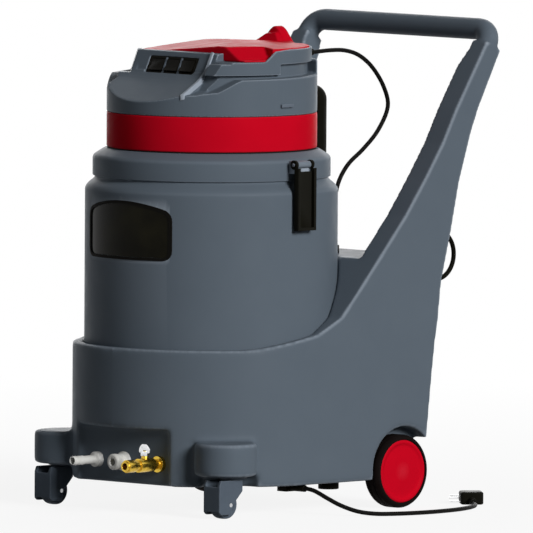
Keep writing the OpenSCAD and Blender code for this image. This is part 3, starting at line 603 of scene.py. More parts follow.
@dataclass(frozen=True)
class Moulded(Finish):
    """A moulded plastic or rubber: two close shades, a grain from the mould, and paler edges that are wear
    and painted highlight together.
    """

    colour: str
    drift: str
    rubbed: str
    roughness: tuple[float, float]
    ior: float = 1.5
    specular: float = 0.3
    mottle_mm: float = 70
    grain_mm: float = 2.4
    grain_depth_mm: float = 0.06
    edge_wear_and_highlight: float = 0.35

    def paint(self, tree: Tree, place: Socket) -> dict:
        """Mottled colour, paler edges as wear and painted highlight, uneven gloss and a fine grain.

        Args:
            tree: The shader's nodes.
            place: Where a point lies on the machine.

        Returns:
            The surface's inputs.
        """
        mottle, handled, grain = (
            add(tree, "ShaderNodeTexNoise", {"Vector": place, "Scale": 1000 / size, "Detail": detail})
            for size, detail in ((self.mottle_mm, 3), (self.mottle_mm * 0.45, 4), (self.grain_mm, 2)))
        shade = add(tree, "ShaderNodeMix", {0: mottle, 6: linear(self.colour), 7: linear(self.drift)},
                    data_type="RGBA")
        shape = add(tree, "ShaderNodeNewGeometry").outputs["Pointiness"]
        # Edges found by pointiness are painted paler: wear, and a painted highlight of the light along them.
        edge = add(tree, "ShaderNodeMapRange", {0: shape, 1: 0.515, 2: 0.58, 4: self.edge_wear_and_highlight})
        worn_and_highlighted = add(tree, "ShaderNodeMix", {0: edge, 6: shade.outputs[2], 7: linear(self.rubbed)},
                   data_type="RGBA")
        smooth, rough = self.roughness
        gloss = add(tree, "ShaderNodeMapRange", {0: handled, 1: 0.3, 2: 0.7, 3: smooth, 4: rough})
        bump = add(tree, "ShaderNodeBump",
                   {"Height": grain, "Distance": self.grain_depth_mm * MM, "Strength": 0.6})
        return {
            "Base Color": worn_and_highlighted.outputs[2],
            "Roughness": gloss,
            "Normal": bump,
            "IOR": self.ior,
            "Specular IOR Level": self.specular,
        }


@dataclass(frozen=True)
class Metal(Finish):
    """A plated or machined metal: fine lines round it, small dulled spots, and uneven gloss."""

    colour: str
    dulled: str
    roughness: tuple[float, float]
    line_mm: float = 0.8
    line_depth_mm: float = 0.02
    line_length: float = 12
    spot_mm: float = 9

    def paint(self, tree: Tree, place: Socket) -> dict:
        """Spotted colour, uneven gloss and tool lines.

        Args:
            tree: The shader's nodes.
            place: Where a point lies on the machine.

        Returns:
            The surface's inputs.
        """
        spots = add(tree, "ShaderNodeTexNoise", {"Vector": place, "Scale": 1000 / self.spot_mm, "Detail": 4})
        much = add(tree, "ShaderNodeMapRange", {0: spots, 1: 0.45, 2: 0.75})
        shade = add(tree, "ShaderNodeMix", {0: much, 6: linear(self.colour), 7: linear(self.dulled)},
                    data_type="RGBA")
        smooth, rough = self.roughness
        gloss = add(tree, "ShaderNodeMapRange", {0: spots, 1: 0.35, 2: 0.7, 3: smooth, 4: rough})
        stretch = self.line_length
        squeeze = add(tree, "ShaderNodeMapping", {"Vector": place, "Scale": (1, stretch, stretch)})
        lines = add(tree, "ShaderNodeTexNoise",
                    {"Vector": squeeze, "Scale": 1000 / self.line_mm / stretch, "Detail": 1})
        bump = add(tree, "ShaderNodeBump",
                   {"Height": lines, "Distance": self.line_depth_mm * MM, "Strength": 0.5})
        return {
            "Base Color": shade.outputs[2],
            "Roughness": gloss,
            "Normal": bump,
            "Metallic": 1.0,
        }


@dataclass(frozen=True)
class Smoked(Finish):
    """A smoked pane over the drum's inside: a deep olive black, the smoke with painted shade of the unlit
    inside, that lightens where water has dried.
    """

    colour: str
    haze: str
    haze_mm: float = 60

    def paint(self, tree: Tree, place: Socket) -> dict:
        """A dark, faintly hazy ground with light scuffs.

        Args:
            tree: The shader's nodes.
            place: Where a point lies on the machine.

        Returns:
            The surface's inputs.
        """
        haze = add(tree, "ShaderNodeTexNoise", {"Vector": place, "Scale": 1000 / self.haze_mm, "Detail": 5})
        much = add(tree, "ShaderNodeMapRange", {0: haze, 1: 0.4, 2: 0.7})
        shade = add(tree, "ShaderNodeMix", {0: much, 6: linear(self.colour), 7: linear(self.haze)},
                    data_type="RGBA")
        scuffs = add(tree, "ShaderNodeMapRange", {0: haze, 1: 0.3, 2: 0.7, 3: 0.12, 4: 0.24})
        return {
            "Base Color": shade.outputs[2],
            "Roughness": scuffs,
            "IOR": 1.49,
            "Specular IOR Level": 0.05,
        }


# Rotomoulded polyethylene: waxy, half matt, with a fine orange-peel skin; its edges are painted pale, as wear
# and as painted highlight.
SLATE = Moulded("rotomoulded_polyethylene_slate", "slate_plastic", "#5E6872", "#59636D", "#AEB8C4",
    (0.42, 0.52), ior=1.51, specular=0.04, edge_wear_and_highlight=0.8)
# The same plastic where the head's cover is injection moulded: a tighter grain, and edges painted pale as
# wear and painted highlight.
SLATE_HEAD = Moulded("injection_moulded_polypropylene_slate", "slate_plastic", "#5E6872", "#58626C",
    "#AEB8C4", (0.38, 0.48), ior=1.49, specular=0.04, grain_mm=1.8, edge_wear_and_highlight=0.8)
# The same plastic on the console's rib, painted pale as a highlight along that edge, and smoother.
SLATE_RIB_HIGHLIGHT = Moulded("rubbed_polypropylene_slate", "slate_plastic", "#98A2AE", "#8D97A3", "#C2CAD4",
    (0.3, 0.38), ior=1.49, specular=0.04, grain_mm=1.8)
# Glass-filled nylon of the caster forks: matt and slightly dusty.
SLATE_NYLON = Moulded("glass_filled_nylon_slate", "slate_plastic", "#59636E", "#4F5863", "#8D97A2",
    (0.5, 0.62), ior=1.53, specular=0.03, mottle_mm=18, grain_mm=1.2)
# Dyed polypropylene: saturated through its body, smoother than the tank.
RED = Moulded("injection_moulded_polypropylene_red", "red_plastic", "#CC0A22", "#BE081E", "#E0485A",
    (0.3, 0.4), ior=1.49, specular=0.004, grain_mm=2.2, grain_depth_mm=0.04, edge_wear_and_highlight=0.15)
# Moulded nylon: black, satin, greyer where hands rub it.
BLACK = Moulded("moulded_nylon_black", "black_plastic", "#0E0D08", "#13120C", "#343431",
    (0.4, 0.52), ior=1.53, specular=0.02, mottle_mm=30, grain_mm=1.4, edge_wear_and_highlight=0.15)
# Polished nylon of the rocker switches.
ROCKER = Moulded("polished_nylon_rocker", "black_plastic", "#0C0B08", "#11100C", "#2C2B28",
    (0.24, 0.32), ior=1.53, specular=0.03, mottle_mm=12, grain_mm=1.0, grain_depth_mm=0.01,
    edge_wear_and_highlight=0.15)
# Nitrile rubber: deep black with a dry bloom.
RUBBER = Moulded("nitrile_rubber_black", "rubber", "#0E0D0B", "#141311", "#2A2927",
    (0.6, 0.75), ior=1.52, specular=0.02, mottle_mm=15, grain_mm=1.2)
# Solid tyre rubber: dusty on its shoulders, ribbed by its mould.
TYRE = Moulded("solid_tyre_rubber", "tyre", "#0F0A09", "#151110", "#302E2B",
    (0.62, 0.8), ior=1.52, specular=0.02, mottle_mm=20, grain_mm=1.6, edge_wear_and_highlight=0.5)
# Extruded rubber sheath: smooth along its run, with a soft sheen.
SHEATH = Moulded("extruded_rubber_sheath", "cord_rubber", "#0D0C0B", "#131211", "#282726",
    (0.45, 0.58), ior=1.52, specular=0.03, mottle_mm=40, grain_mm=1.0)
# Acetal: dense, pale and slightly waxy.
ACETAL = Moulded("machined_acetal_white", "white_plastic", "#D8D8D4", "#CACAC6", "#F0F0EE",
    (0.3, 0.42), ior=1.48, specular=0.4, mottle_mm=8, grain_mm=0.9, grain_depth_mm=0.02)
# Hollow polypropylene float: cream.
FLOAT = Moulded("hollow_polypropylene_float", "ball_plastic", "#DAD4BE", "#CFC8B0", "#EEE8D6",
    (0.35, 0.45), ior=1.49)
# Cast acrylic, smoked; its near-black colour also paints the shade inside the drum behind it.
SMOKE = Smoked("cast_acrylic_smoked", "smoked_plastic", "#0F0D04", "#1D1B0E")
# Zinc-plated mild steel: pale, slightly cloudy.
ZINC = Metal("zinc_plated_steel", "steel", "#C4C6C8", "#A9ABAC", (0.28, 0.42))
# Mild steel with a black oxide skin: dark and dull.
OXIDE = Metal("black_oxide_steel", "steel", "#33383E", "#282C31", (0.5, 0.62))
# Bright chrome plate over brass.
CHROME = Metal("polished_chrome_plate", "chrome", "#E4E5E6", "#CACCCE", (0.08, 0.16),
    line_depth_mm=0.005)
# Turned brass, a little tarnished in its grooves.
BRASS = Metal("turned_brass", "brass", "#D8B548", "#A9852C", (0.2, 0.34), line_mm=0.6)


# ---- studio


def toward(azimuth: float, elevation: float) -> Vector:
    """The direction from the machine to a camera or a lamp, by its angles in degrees."""
    a, e = math.radians(azimuth), math.radians(elevation)
    return Vector((math.sin(a) * math.cos(e), -math.cos(a) * math.cos(e), math.sin(e)))


@dataclass
class Studio:
    """The camera, the lamps, the world and the floor round the machine."""

    azimuth: float = 45.0
    elevation: float = 3.9
    roll: float = 0.006
    distance: float = 36.0
    width_seen: float = 0.9269
    aim_across: float = 0.0965
    aim_height: float = 0.4191
    sensor: float = 36.0
    # Each sun lamp: name, azimuth, elevation, irradiance, and the angle that it fills.
    lamps: tuple[tuple[str, float, float, float, float], ...] = (
        ("key", 82, 22, 3.0, 20), ("fill", 350, 4, 0.14, 50), ("back_fill", 222, 14, 1.3, 50),
    )
    soft_world: float = 0.045
    floor_radius: float = 9.0
    # The floor's own glow: its share near the machine, and where it grows to all.
    glow_near: float = 0.88
    glow_grows: tuple[float, float] = (0.5, 3.0)
    fibre_mm: float = 2.5

    def camera(self) -> None:
        """Sets the camera at the machine's front right, far off and low."""
        back = toward(self.azimuth, self.elevation)
        across = Vector((0, 0, 1)).cross(back).normalized()
        data = bpy.data.cameras.new("camera")
        data.sensor_width = self.sensor
        data.lens = self.sensor * self.distance / self.width_seen
        data.clip_end = 200
        camera = bpy.data.objects.new("camera", data)
        camera.rotation_mode = "QUATERNION"
        turn = (-back).to_track_quat("-Z", "Y")
        camera.rotation_quaternion = turn @ Euler((0, 0, self.roll)).to_quaternion()
        aim = AXIS + across * self.aim_across + Vector((0, 0, self.aim_height))
        camera.location = aim + back * self.distance
        link(camera)
        bpy.context.scene.camera = camera

    def light(self) -> None:
        """A key from the right, lamps in front and behind, and a world that is seen as white."""
        for name, azimuth, elevation, strength, spread in self.lamps:
            data = bpy.data.lights.new(name, "SUN")
            data.energy = strength
            data.angle = math.radians(spread)
            lamp = bpy.data.objects.new(name, data)
            lamp.rotation_euler = (-toward(azimuth, elevation)).to_track_quat("-Z", "Y").to_euler()
            link(lamp)
        world = bpy.data.worlds.new("studio")
        bpy.context.scene.world = world
        world.use_nodes = True
        tree = world.node_tree
        tree.nodes.clear()
        soft, white = (add(tree, "ShaderNodeBackground", {"Color": linear(WHITE), "Strength": strength})
                       for strength in (self.soft_world, 1.0))
        both = add(tree, "ShaderNodeMixShader", {0: self.seen_rays(tree), 1: soft, 2: white})
        add(tree, "ShaderNodeOutputWorld", {"Surface": both})

    @staticmethod
    def seen_rays(tree: Tree) -> Socket:
        """1 for what the camera sees, straight or through gloss and glass.

        Args:
            tree: The shader's nodes.

        Returns:
            The socket that says it.
        """
        ray = add(tree, "ShaderNodeLightPath").outputs
        mirror = add(tree, "ShaderNodeMath", {0: ray["Is Camera Ray"], 1: ray["Is Glossy Ray"]},
                     operation="MAXIMUM")
        glass = add(tree, "ShaderNodeMath", {0: mirror, 1: ray["Is Transmission Ray"]},
                    operation="MAXIMUM")
        return glass.outputs[0]

    def floor(self) -> None:
        """A pale round floor that fades into the white behind it."""
        clear()
        bpy.ops.mesh.primitive_circle_add(vertices=96, radius=self.floor_radius, fill_type="NGON",
                                          location=AXIS)
        floor = bpy.context.object
        floor.name = "floor"
        made = bpy.data.materials.new("matt_paper_floor")
        made.use_nodes = True
        tree = made.node_tree
        tree.nodes.clear()
        place = add(tree, "ShaderNodeTexCoord").outputs["Object"]
        far = add(tree, "ShaderNodeVectorMath", {0: place}, operation="LENGTH").outputs["Value"]
        near, all_from = self.glow_grows
        fade = add(tree, "ShaderNodeMapRange", {0: far, 1: near, 2: all_from, 3: self.glow_near})
        seen = self.seen_rays(tree)
        share = add(tree, "ShaderNodeMath", {0: seen, 1: fade}, operation="MULTIPLY")
        fibre = add(tree, "ShaderNodeTexNoise", {"Vector": place, "Scale": 1000 / self.fibre_mm, "Detail": 2})
        tone = add(tree, "ShaderNodeMix", {0: fibre, 6: linear("#ECECEC"), 7: linear("#F2F2F2")},
                   data_type="RGBA")
        bounce = add(tree, "ShaderNodeMix", {0: seen, 6: linear("#7C7C7C"), 7: tone.outputs[2]},
                     data_type="RGBA")
        paper = add(tree, "ShaderNodeBsdfDiffuse", {"Color": bounce.outputs[2]})
        glow = add(tree, "ShaderNodeEmission", {"Color": linear(WHITE), "Strength": 1.0})
        both = add(tree, "ShaderNodeMixShader", {0: share, 1: paper, 2: glow})
        add(tree, "ShaderNodeOutputMaterial", {"Surface": both})
        floor.data.materials.append(made)

    def build(self) -> None:
        """Camera, light, floor and the plain view."""
        bpy.context.scene.view_settings.view_transform = "Standard"
        self.camera()
        self.light()
        self.floor()
        log.info("studio is set")


# ---- cords


@dataclass
class Lead:
    """What both cords have: a sheath's radius, and a route to their far end."""

    radius: float = 3.75
    route: tuple[Place, ...] = ()
    per_span: int = 4

    def line(self) -> list[Vector]:
        """The route as a smooth line.

        Returns:
            The line's points.
        """
        line = curve_through([at(*point) for point in self.route], self.per_span)
        log.info("%s is %.3f m long", type(self).__name__, length_of(line))
        return line


@dataclass
class MainsCord(Lead):
    """The mains cord, from under the base to its plug on the floor."""

    route: tuple[Place, ...] = (
        (206, 3, 45), (234, 3, 45), (254, 5, 41.5), (276, 11, 31), (299, 23, 18.5), (322, 42, 8.5),
        (342, 66, 4.5), (358, 96, 4), (368, 130, 4), (371.9, 168, 4), (370, 206, 4), (364, 244, 4),
        (352, 280, 4), (336, 312, 4), (314, 340, 4), (290, 360, 4),
    )
    plug_turn: float = 140.0
    plug_start: float = 20.0
    plug_l: float = 45.0
    plug_half: float = 20.0
    plug_h: float = 22.0
    neck_z: float = 7.0
    neck_rings: int = 5
    neck_step: float = 4.0

    def build(self) -> None:
        line = self.line()
        cord = drawn_curve("mains_cord_sheath", line, self.radius * MM)
        stand_in(cord, "base", SHEATH, "mains_cord")
        plug = self.plug()

    def plug(self) -> Piece:
        """The plug at the route's end: a round-cornered grip with a ribbed neck for the cord.

        Returns:
            The plug.
        """
        x, y, _ = self.route[-1]
        near, far, half = self.plug_start, self.plug_start + self.plug_l, self.plug_half
        body = closed([(near, -half, 7), (far, -half, 6), (far, half, 6), (near, half, 7)])
        turn = Euler((0, 0, math.radians(self.plug_turn)))
        grip = slab("plug_grip", body, self.plug_h, at(x, y, 0), turn)
        modify(grip, "BEVEL", width=3 * MM, segments=4, limit_method="ANGLE")
        neck = [turned("neck_core", rounded([(4.4, -1, 0), (4.6, 0, 0.5), (6.2, 21, 0), (3, 22, 0)], 2),
                       Vector(), Direction.SIDE, 32)]
        for k in range(self.neck_rings):
            low = 1.4 + self.neck_step * k
            size, high = 5.4 + 0.35 * k, low + 3.2
            outline = rounded([(self.radius, low, 0), (size, low, 0.8), (size, high, 0.8),
                               (self.radius, high, 0)], 3)
            neck.append(turned(f"neck_{k}", outline, Vector(), Direction.SIDE, 32))
        for piece in neck:
            piece.data.transform(Matrix.Translation(at(x, y, self.neck_z)) @ turn.to_matrix().to_4x4())
        plug = joined("plug_body", [grip, *neck])
        stand_in(plug, "base", BLACK, "plug")
        dress(CHROME, "plug_pins")
        return plug


@dataclass
class PumpLead(Lead):
    """The lead from the head's gland down to its socket on the deck."""

    route: tuple[Place, ...] = (
        (60, 176, 788), (60, 194, 788), (60, 228, 789.5), (60, 266, 788), (60, 302, 778),
        (60, 336, 755), (60, 364, 720), (60, 374, 685), (60, 350, 645), (60, 314, 614),
        (60, 276, 588), (60, 252, 556), (60, 242, 515), (60, 240, 475), (60, 240, 443),
    )
    per_span: int = 5
    bend_top: Place = (60, 240, 786)

    def build(self) -> None:
        """Makes the lead, which curves down from the head to the base."""
        line = self.line()
        lead = drawn_curve("pump_lead_sheath", line, self.radius * MM)
        pick(lead)
        bpy.ops.object.convert(target="MESH")
        settle(lead)
        lead.data.materials.append(SHEATH.material())
        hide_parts("pump_lead")
        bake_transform(lead)


# ---- tank base


@dataclass
class TankBase:
    """The wheeled tank: one moulding from the caster pads to the handle bar, and its small parts."""

    voxel: float = 3.4
    soft_below: float = 318.0
    passes_all: int = 3
    passes_soft: int = 20
    keep: float = 0.55
    soft_over: float = 30.0
    # The two bores into the hollow tank: x, y and radius.
    filler: Place = (-92, 268, 24)
    drain: Place = (181, 111, 12)
    deck_z: float = 435.0
    bore_reach: float = 1.5
    upright: float = 0.3
    cap_r: float = 33.0
    cap_ribs: int = 24

    def outer_shell(self) -> Piece:
        """The moulding's outside, without the hollow tank that the filler and drain lead to.

        Returns:
            The outside, as one closed piece.
        """
        piece = copy_of("base", "tank_base_shell")
        edit("DESELECT")
        bpy.ops.mesh.select_mode(type="FACE")
        leave()
        for x, y, radius in (self.filler, self.drain):
            for face in piece.data.polygons:
                off = (face.center - at(x, y, 0)).to_2d().length
                if abs(face.normal.z) < self.upright and off < (radius + self.bore_reach) * MM:
                    face.select = True
        bpy.ops.object.mode_set(mode="EDIT")
        bpy.ops.mesh.delete(type="FACE")
        fill_open_edges()
        bpy.ops.mesh.select_all(action="SELECT")
        bpy.ops.mesh.separate(type="LOOSE")
        leave()
        outer, *inner = sorted(bpy.context.selected_objects, key=lambda part: -part.dimensions.z)
        for part in inner:
            bpy.data.objects.remove(part)
        outer.name = outer.data.name = "tank_base_shell"
        return outer

    def shell(self) -> None:
        """The skin: round corners below, a crisper edge along the arms."""
        piece = self.outer_shell()
        modify(piece, "REMESH", mode="VOXEL", voxel_size=self.voxel * MM)
        modify(piece, "SMOOTH", factor=0.5, iterations=self.passes_all)
        group = piece.vertex_groups.new(name="soft")
        for corner in piece.data.vertices:
            share = min(1.0, (self.soft_below * MM - corner.co.z) / (self.soft_over * MM))
            if share > 0:
                group.add([corner.index], share, "REPLACE")
        modify(piece, "SMOOTH", factor=0.5, iterations=self.passes_soft, vertex_group="soft")
        piece.vertex_groups.clear()
        modify(piece, "DECIMATE", ratio=self.keep)
        pick(piece)
        bpy.ops.object.shade_smooth()
        stand_in(piece, "base", SLATE, "base")

    def filler_cap(self) -> None:
        """The cap on the deck, with ribs round its edge to grip it by."""
        x, y, bore = self.filler
        z, r = self.deck_z, self.cap_r
        cap = turned("filler_cap_knob", rounded([
            (3, z + 4, 0), (bore, z + 4, 0), (r - 1, z + 2.4, 0), (r, z + 3, 1), (r, z + 12, 2.5),
            (r - 5, z + 14.2, 1.5), (bore, z + 13, 1), (3, z + 12.6, 0)], 3), at(x, y, 0))
        rib = rounded([(1.7, z + 3, 0), (1.9, z + 5, 0), (1.9, z + 10, 0), (0.6, z + 12.4, 0)], 2)
        ribs = []
        for k in range(self.cap_ribs):
            turn = 2 * math.pi * k / self.cap_ribs
            place = at(x + (r - 0.8) * math.cos(turn), y + (r - 0.8) * math.sin(turn), 0)
            ribs.append(turned(f"rib_{k}", rib, place, sides=12))
        stand_in(joined("filler_cap_ribbed", [cap, *ribs]), "filler_cap", BLACK, "filler_cap")

    def build(self) -> None:
        """Makes the moulding and its small parts."""
        self.shell()
        self.filler_cap()
        soften("plug", 1.5, BLACK, None, "drain_cap")
        soften("plate", 1.5, SLATE_HEAD, "base", "bay_cover")
        soften("bar", 1.5, SLATE_HEAD, "base", "hook_ledge")
        soften("sleeve", 0.8, BLACK, "base", "cord_gland")
        dress(BLACK, "filler_neck", "cord_hook", "pump")
        dress(ZINC, "pump_motor")


# ---- drum


@dataclass
class RecoveryDrum:
    """The drum with its rounded shoulder and rim band, and the window in its front."""

    radius: float = 220.0
    wall: float = 4.0
    floor_z: float = 170.0
    shoulder_z: float = 560.0
    neck_r: float = 203.0
    neck_z: float = 574.0
    rim_z: float = 578.0
    rim_r: float = 207.0
    rim_top: float = 613.0
    seat_r: float = 186.0
    seat_z: float = 626.0
    mouth_r: float = 172.0
    window_half: float = 96.0
    window_z: float = 446.0
    window_side_z: float = 522.0
    window_top_z: float = 538.0
    corner: float = 13.0
    gasket_w: float = 5.0
    gasket_t: float = 1.5
    pane_t: float = 3.5
    gap: float = 0.6
    # How far the plain stretches of wall reach past the window.
    under: float = 12.0
    over: float = 8.0

    def wall_outline(self) -> Points:
        """The drum's section, outside and inside.

        Returns:
            The section, as (radius, z).
        """
        w = self.wall
        return rounded([
            (1, self.floor_z, 0), (self.radius, self.floor_z, 8),
            (self.radius, self.window_z - self.under, 0), (self.radius, self.window_top_z + self.over, 0),
            (self.radius, self.shoulder_z, 13), (self.neck_r, self.neck_z, 5),
            (self.neck_r, self.rim_z, 1.2), (self.rim_r, self.rim_z, 2),
            (self.rim_r, self.rim_top, 6), (self.seat_r, self.seat_z, 3), (self.mouth_r, self.seat_z, 1),
            (self.mouth_r, self.seat_z - 2 * w, 1), (self.neck_r - w, self.rim_top - 2 * w, 3),
            (self.neck_r - w, self.neck_z - 2, 4), (self.radius - w, self.shoulder_z - 3, 10),
            (self.radius - w, self.floor_z + 8, 4), (self.radius - w - 6, self.floor_z + w, 2),
            (1, self.floor_z + w, 0)], 5)

    def window_outline(self, grow: float) -> Points:
        """The window's outline with an arched top and round corners, grown by some millimetres.

        Args:
            grow: By how much it is grown, in millimetres.

        Returns:
            The outline, as (x, z).
        """
        half, arch = self.window_half, self.window_top_z - self.window_side_z
        radius = (half * half + arch * arch) / (2 * arch)
        middle_z = self.window_top_z - radius
        top = [(x, middle_z + math.sqrt(radius * radius - x * x))
               for x in (half * (1 - k / 8) for k in range(17))]
        r = self.corner
        ring = closed([(-half, self.window_z, r), (half, self.window_z, r), (*top[0], r),
                       *((x, z, 0) for x, z in top[2:-2]), (*top[-1], r)], 5)
        if not grow:
            return ring
        points = [Vector(point) for point in ring]
        grown = []
        for before, here, after in zip([points[-1], *points], points, [*points[1:], points[0]]):
            along = (after - before).normalized()
            grown.append(tuple(here + Vector((along.y, -along.x)) * grow))
        return grown

    def prism(self, name: str, grow: float) -> Piece:
        """The window's outline drawn out from front to back through the drum's wall."""
        return slab(name, self.window_outline(grow), 120, at(0, -self.mouth_r / 2 - 20, 0),
                    Direction.FRONT.turn)

    def band(self, name: str, inner: float, outer: float) -> Piece:
        """A ring of wall at the window's height.

        Args:
            name: The ring's name.
            inner: Its inner radius.
            outer: Its outer radius.

        Returns:
            The ring.
        """
        low, high = self.window_z - 25, self.window_top_z + 25
        return turned(name, [(inner, low), (outer, low), (outer, high), (inner, high), (inner, low)],
                      sides=256)

    def build(self) -> None:
        """Makes the drum, the pane and the gasket."""
        wall = turned("drum_shell", self.wall_outline(), sides=192)
        cut(wall, self.prism("opening", 0))
        settle(wall)
        stand_in(wall, "base", SLATE, "drum")
        pane = self.band("window_pane", self.radius - self.pane_t, self.radius - self.gap)
        kept_within(pane, self.prism("pane_outline", -0.05))
        settle(pane)
        stand_in(pane, "base", SMOKE, "sight_window")
        gasket = self.band("window_gasket_lip", self.radius - 0.4, self.radius + self.gasket_t)
        kept_within(gasket, self.prism("gasket_outline", self.gasket_w))
        cut(gasket, self.prism("gasket_inside", 0))
        settle(gasket)
        bevelled(gasket, 0.5, steps=2, angle=50)
        settle(gasket)
        stand_in(gasket, "base", RUBBER, "window_gasket")


# ---- motor head


@dataclass
class MotorHead:
    """The lift-off head: red ring, grey cover with its console, and the red lid."""

    radius: float = 183.0
    wall: float = 4.0
    ring_z: float = 628.0
    ring_top: float = 689.0
    plate_z: float = 632.0
    mouth_r: float = 174.0
    cover_voxel: float = 1.5
    lid_voxel: float = 1.6
    shelf_z: float = 757.0
    shelf_off: float = 142.0
    console_z: float = 796.0
    flank_off: float = 129.0
    flank_lean: float = -18.0
    roof_off: float = 98.5
    roof_slope: float = 7.5
    cover_roof_z: float = 791.0
    lid_roof_z: float = 794.0
    grip_y: float = 172.0
    grip_depth: float = 20.0
    apron_x: float = 92.0
    rib_w: float = 5.5
    blunt: float = 0.2
    switch_y: float = -98.4
    switch_z: float = 772.6
    switch_lean: float = 64.0
    reflection_bar_x: float = 18.5

    def ring(self) -> None:
        """The red ring, with rounded edges."""
        inner = self.radius - self.wall
        outline = loop([(self.mouth_r, self.ring_z, 1), (self.radius, self.ring_z, 3),
                        (self.radius, self.ring_top, 3), (inner, self.ring_top, 1),
                        (inner, self.plate_z, 0.5), (self.mouth_r, self.plate_z, 1)])
        stand_in(turned("head_ring_band", outline, sides=192), "head", RED, "head_ring")

    def at_left(self, name: str, off: float, z: float, low: Place, high: Place, lean: float) -> Piece:
        """A block in the frame of the cover's front left flank: along it, outward as -Y, and up.

        Args:
            name: The block's name.
            off: How far outward from the drum's axis its origin lies, in millimetres.
            z: The origin's height, in millimetres.
            low: Its low corner in that frame, in millimetres.
            high: Its high corner.
            lean: Its lean in degrees; below 0 its foot goes outward.

        Returns:
            The block.
        """
        made = block(name, Vector(low) * MM, Vector(high) * MM, self.blunt)
        side = off * math.sqrt(0.5)
        made.data.transform(Matrix.Translation(at(-side, -side, z))
                            @ Matrix.Rotation(math.radians(-45), 4, "Z")
                            @ Matrix.Rotation(math.radians(lean), 4, "X"))
        return made

    def flank(self, name: str, inward: float, outward: float) -> Piece:
        """A slab along the flank, from so far inside its face to so far outside."""
        return self.at_left(name, self.flank_off, self.console_z, (-175, -outward, -41),
                            (175, inward, 60), self.flank_lean)

    def roof(self, name: str, z: float) -> Piece:
        """What lies over a roof plane that falls to the front left."""
        return self.at_left(name, self.roof_off, z, (-200, -120, 0), (200, 240, 60), self.roof_slope)

    def section(self, name: str, outline: Outline, x: float, depth: float) -> Piece:
        """An outline in (y, z) drawn out to the right from some x."""
        return slab(name, outline, depth, at(x, 0, 0), Direction.SECTION.turn)

    def apron_line(self, grow: float) -> Points:
        """The console's face from its top edge to the wall, as (y, z), grown outward."""
        face = rounded([(-86.4, 797.2, 0), (-106, 757, 26), (-190, 709, 0)], 6)
        return [(y - 0.8 * grow, z + 0.6 * grow) for y, z in face]

    def apron(self, name: str) -> Piece:
        """What lies in front of the console's face."""
        outline = [*self.apron_line(0), (-260, 700), (-260, 860), (-86.4, 860)]
        return self.section(name, outline, -200, 200 + self.apron_x)

    def rib(self) -> None:
        """The rib down the right edge of the console's face, painted pale as a highlight."""
        rib = self.section("console_rib", [*self.apron_line(3.2), *reversed(self.apron_line(-6))],
                           self.apron_x - self.rib_w, self.rib_w)
        kept_within(rib, turned("rib_reach", [(1, 690), (185, 690), (185, 799), (1, 799)]))
        bevelled(rib, 0.9, steps=2, angle=40)
        settle(rib)
        stand_in(rib, "head", SLATE_RIB_HIGHLIGHT)

    def cover(self) -> None:
        """The grey cover: console, grooves and saddles, its edges softened as the mould leaves them."""
        cover = copy_of("motor_cover", "motor_cover_shell")
        scoop = [(-190, 722), (-146, 727), (-124, 734), (-110, 752), (-104, 763), (-104, 775), (-190, 775)]
        shelf = self.at_left("shelf_cut", self.shelf_off, self.shelf_z, (-175, -120, 0), (175, 0, 90), 0)
        roof = self.roof("cover_roof", self.cover_roof_z)
        kept_within(roof, block("behind_console", at(-200, -76, 700), at(200, 200, 900), self.blunt))
        cut(cover, self.apron("apron_cut"), self.section("scoop_cut", scoop, self.apron_x - 1, 36),
            self.flank("flank_cut", 0, 120), shelf, roof)
        wall = self.flank("flank_wall", 7, 0)
        kept_within(wall, turned("flank_reach", [(1, 745), (172, 745), (172, 792), (1, 792)]))
        cut(wall, self.apron("flank_front"))
        band = turned("saddle_band", [(150, 760), (173, 760), (173, 780), (150, 780), (150, 760)],
                      sides=192)
        kept_within(band, self.section("band_reach", [(-122, 755), (-4, 755), (-4, 785), (-107, 785)],
                                       100, 90))
        self.rib()
        cover = joined("motor_cover_shell", [cover, wall, band])
        skinned(cover, self.cover_voxel, passes=3, keep=0.5)
        stand_in(cover, "head", SLATE_HEAD, "motor_cover")

    def lid(self) -> None:
        """The red lid with its grip."""
        lid = copy_of("top_lid", "top_lid_shell")
        cut(lid, self.flank("lid_side", 8, 120), self.roof("lid_roof", self.lid_roof_z))
        cheek = ((70, 804), (44, 804), (28, 807), (9, 822), (0.1, 826), (0.1, 850), (70, 850))
        for side in Side:
            cut(lid, slab("grip_cheek", [(side.value * x, z) for x, z in cheek], 80, at(0, 182, 0),
                          Direction.FRONT.turn))
        slope = [(40, 798, 0), (28, 806, 10), (12, 826, 10)]
        peak = rounded([*((-x, z, r) for x, z, r in slope), (0, 834, 10), *reversed(slope)])
        grip = slab("grip_peak", peak, self.grip_depth, at(0, self.grip_y, 0), Direction.FRONT.turn)
        lid = joined("top_lid_shell", [lid, grip])
        skinned(lid, self.lid_voxel, passes=5, keep=0.6)
        stand_in(lid, "head", RED, "top_lid")

    def switches(self) -> None:
        """The bezel, its three rockers, and grey bars between them that paint the reflections on the rockers'
        side walls.
        """
        soften("frame", 0.6, BLACK, "head", "switch_bezel")
        soften("cap", 0.5, ROCKER, None, "rocker_left", "rocker_mid", "rocker_right")
        for side in Side:
            # Each bar is a grey piece that stands for a reflection on the rockers' side walls.
            x = side.value * self.reflection_bar_x
            reflection_bar = block(f"switch_divider_{side.word}", Vector((x - 2.6, -15, -6)) * MM,
                            Vector((x + 2.6, 15, -0.6)) * MM, 0.6, 2)
            reflection_bar.data.transform(Matrix.Translation(at(0, self.switch_y, self.switch_z))
                                   @ Matrix.Rotation(math.radians(self.switch_lean), 4, "X"))
            stand_in(reflection_bar, "head", SLATE_NYLON)

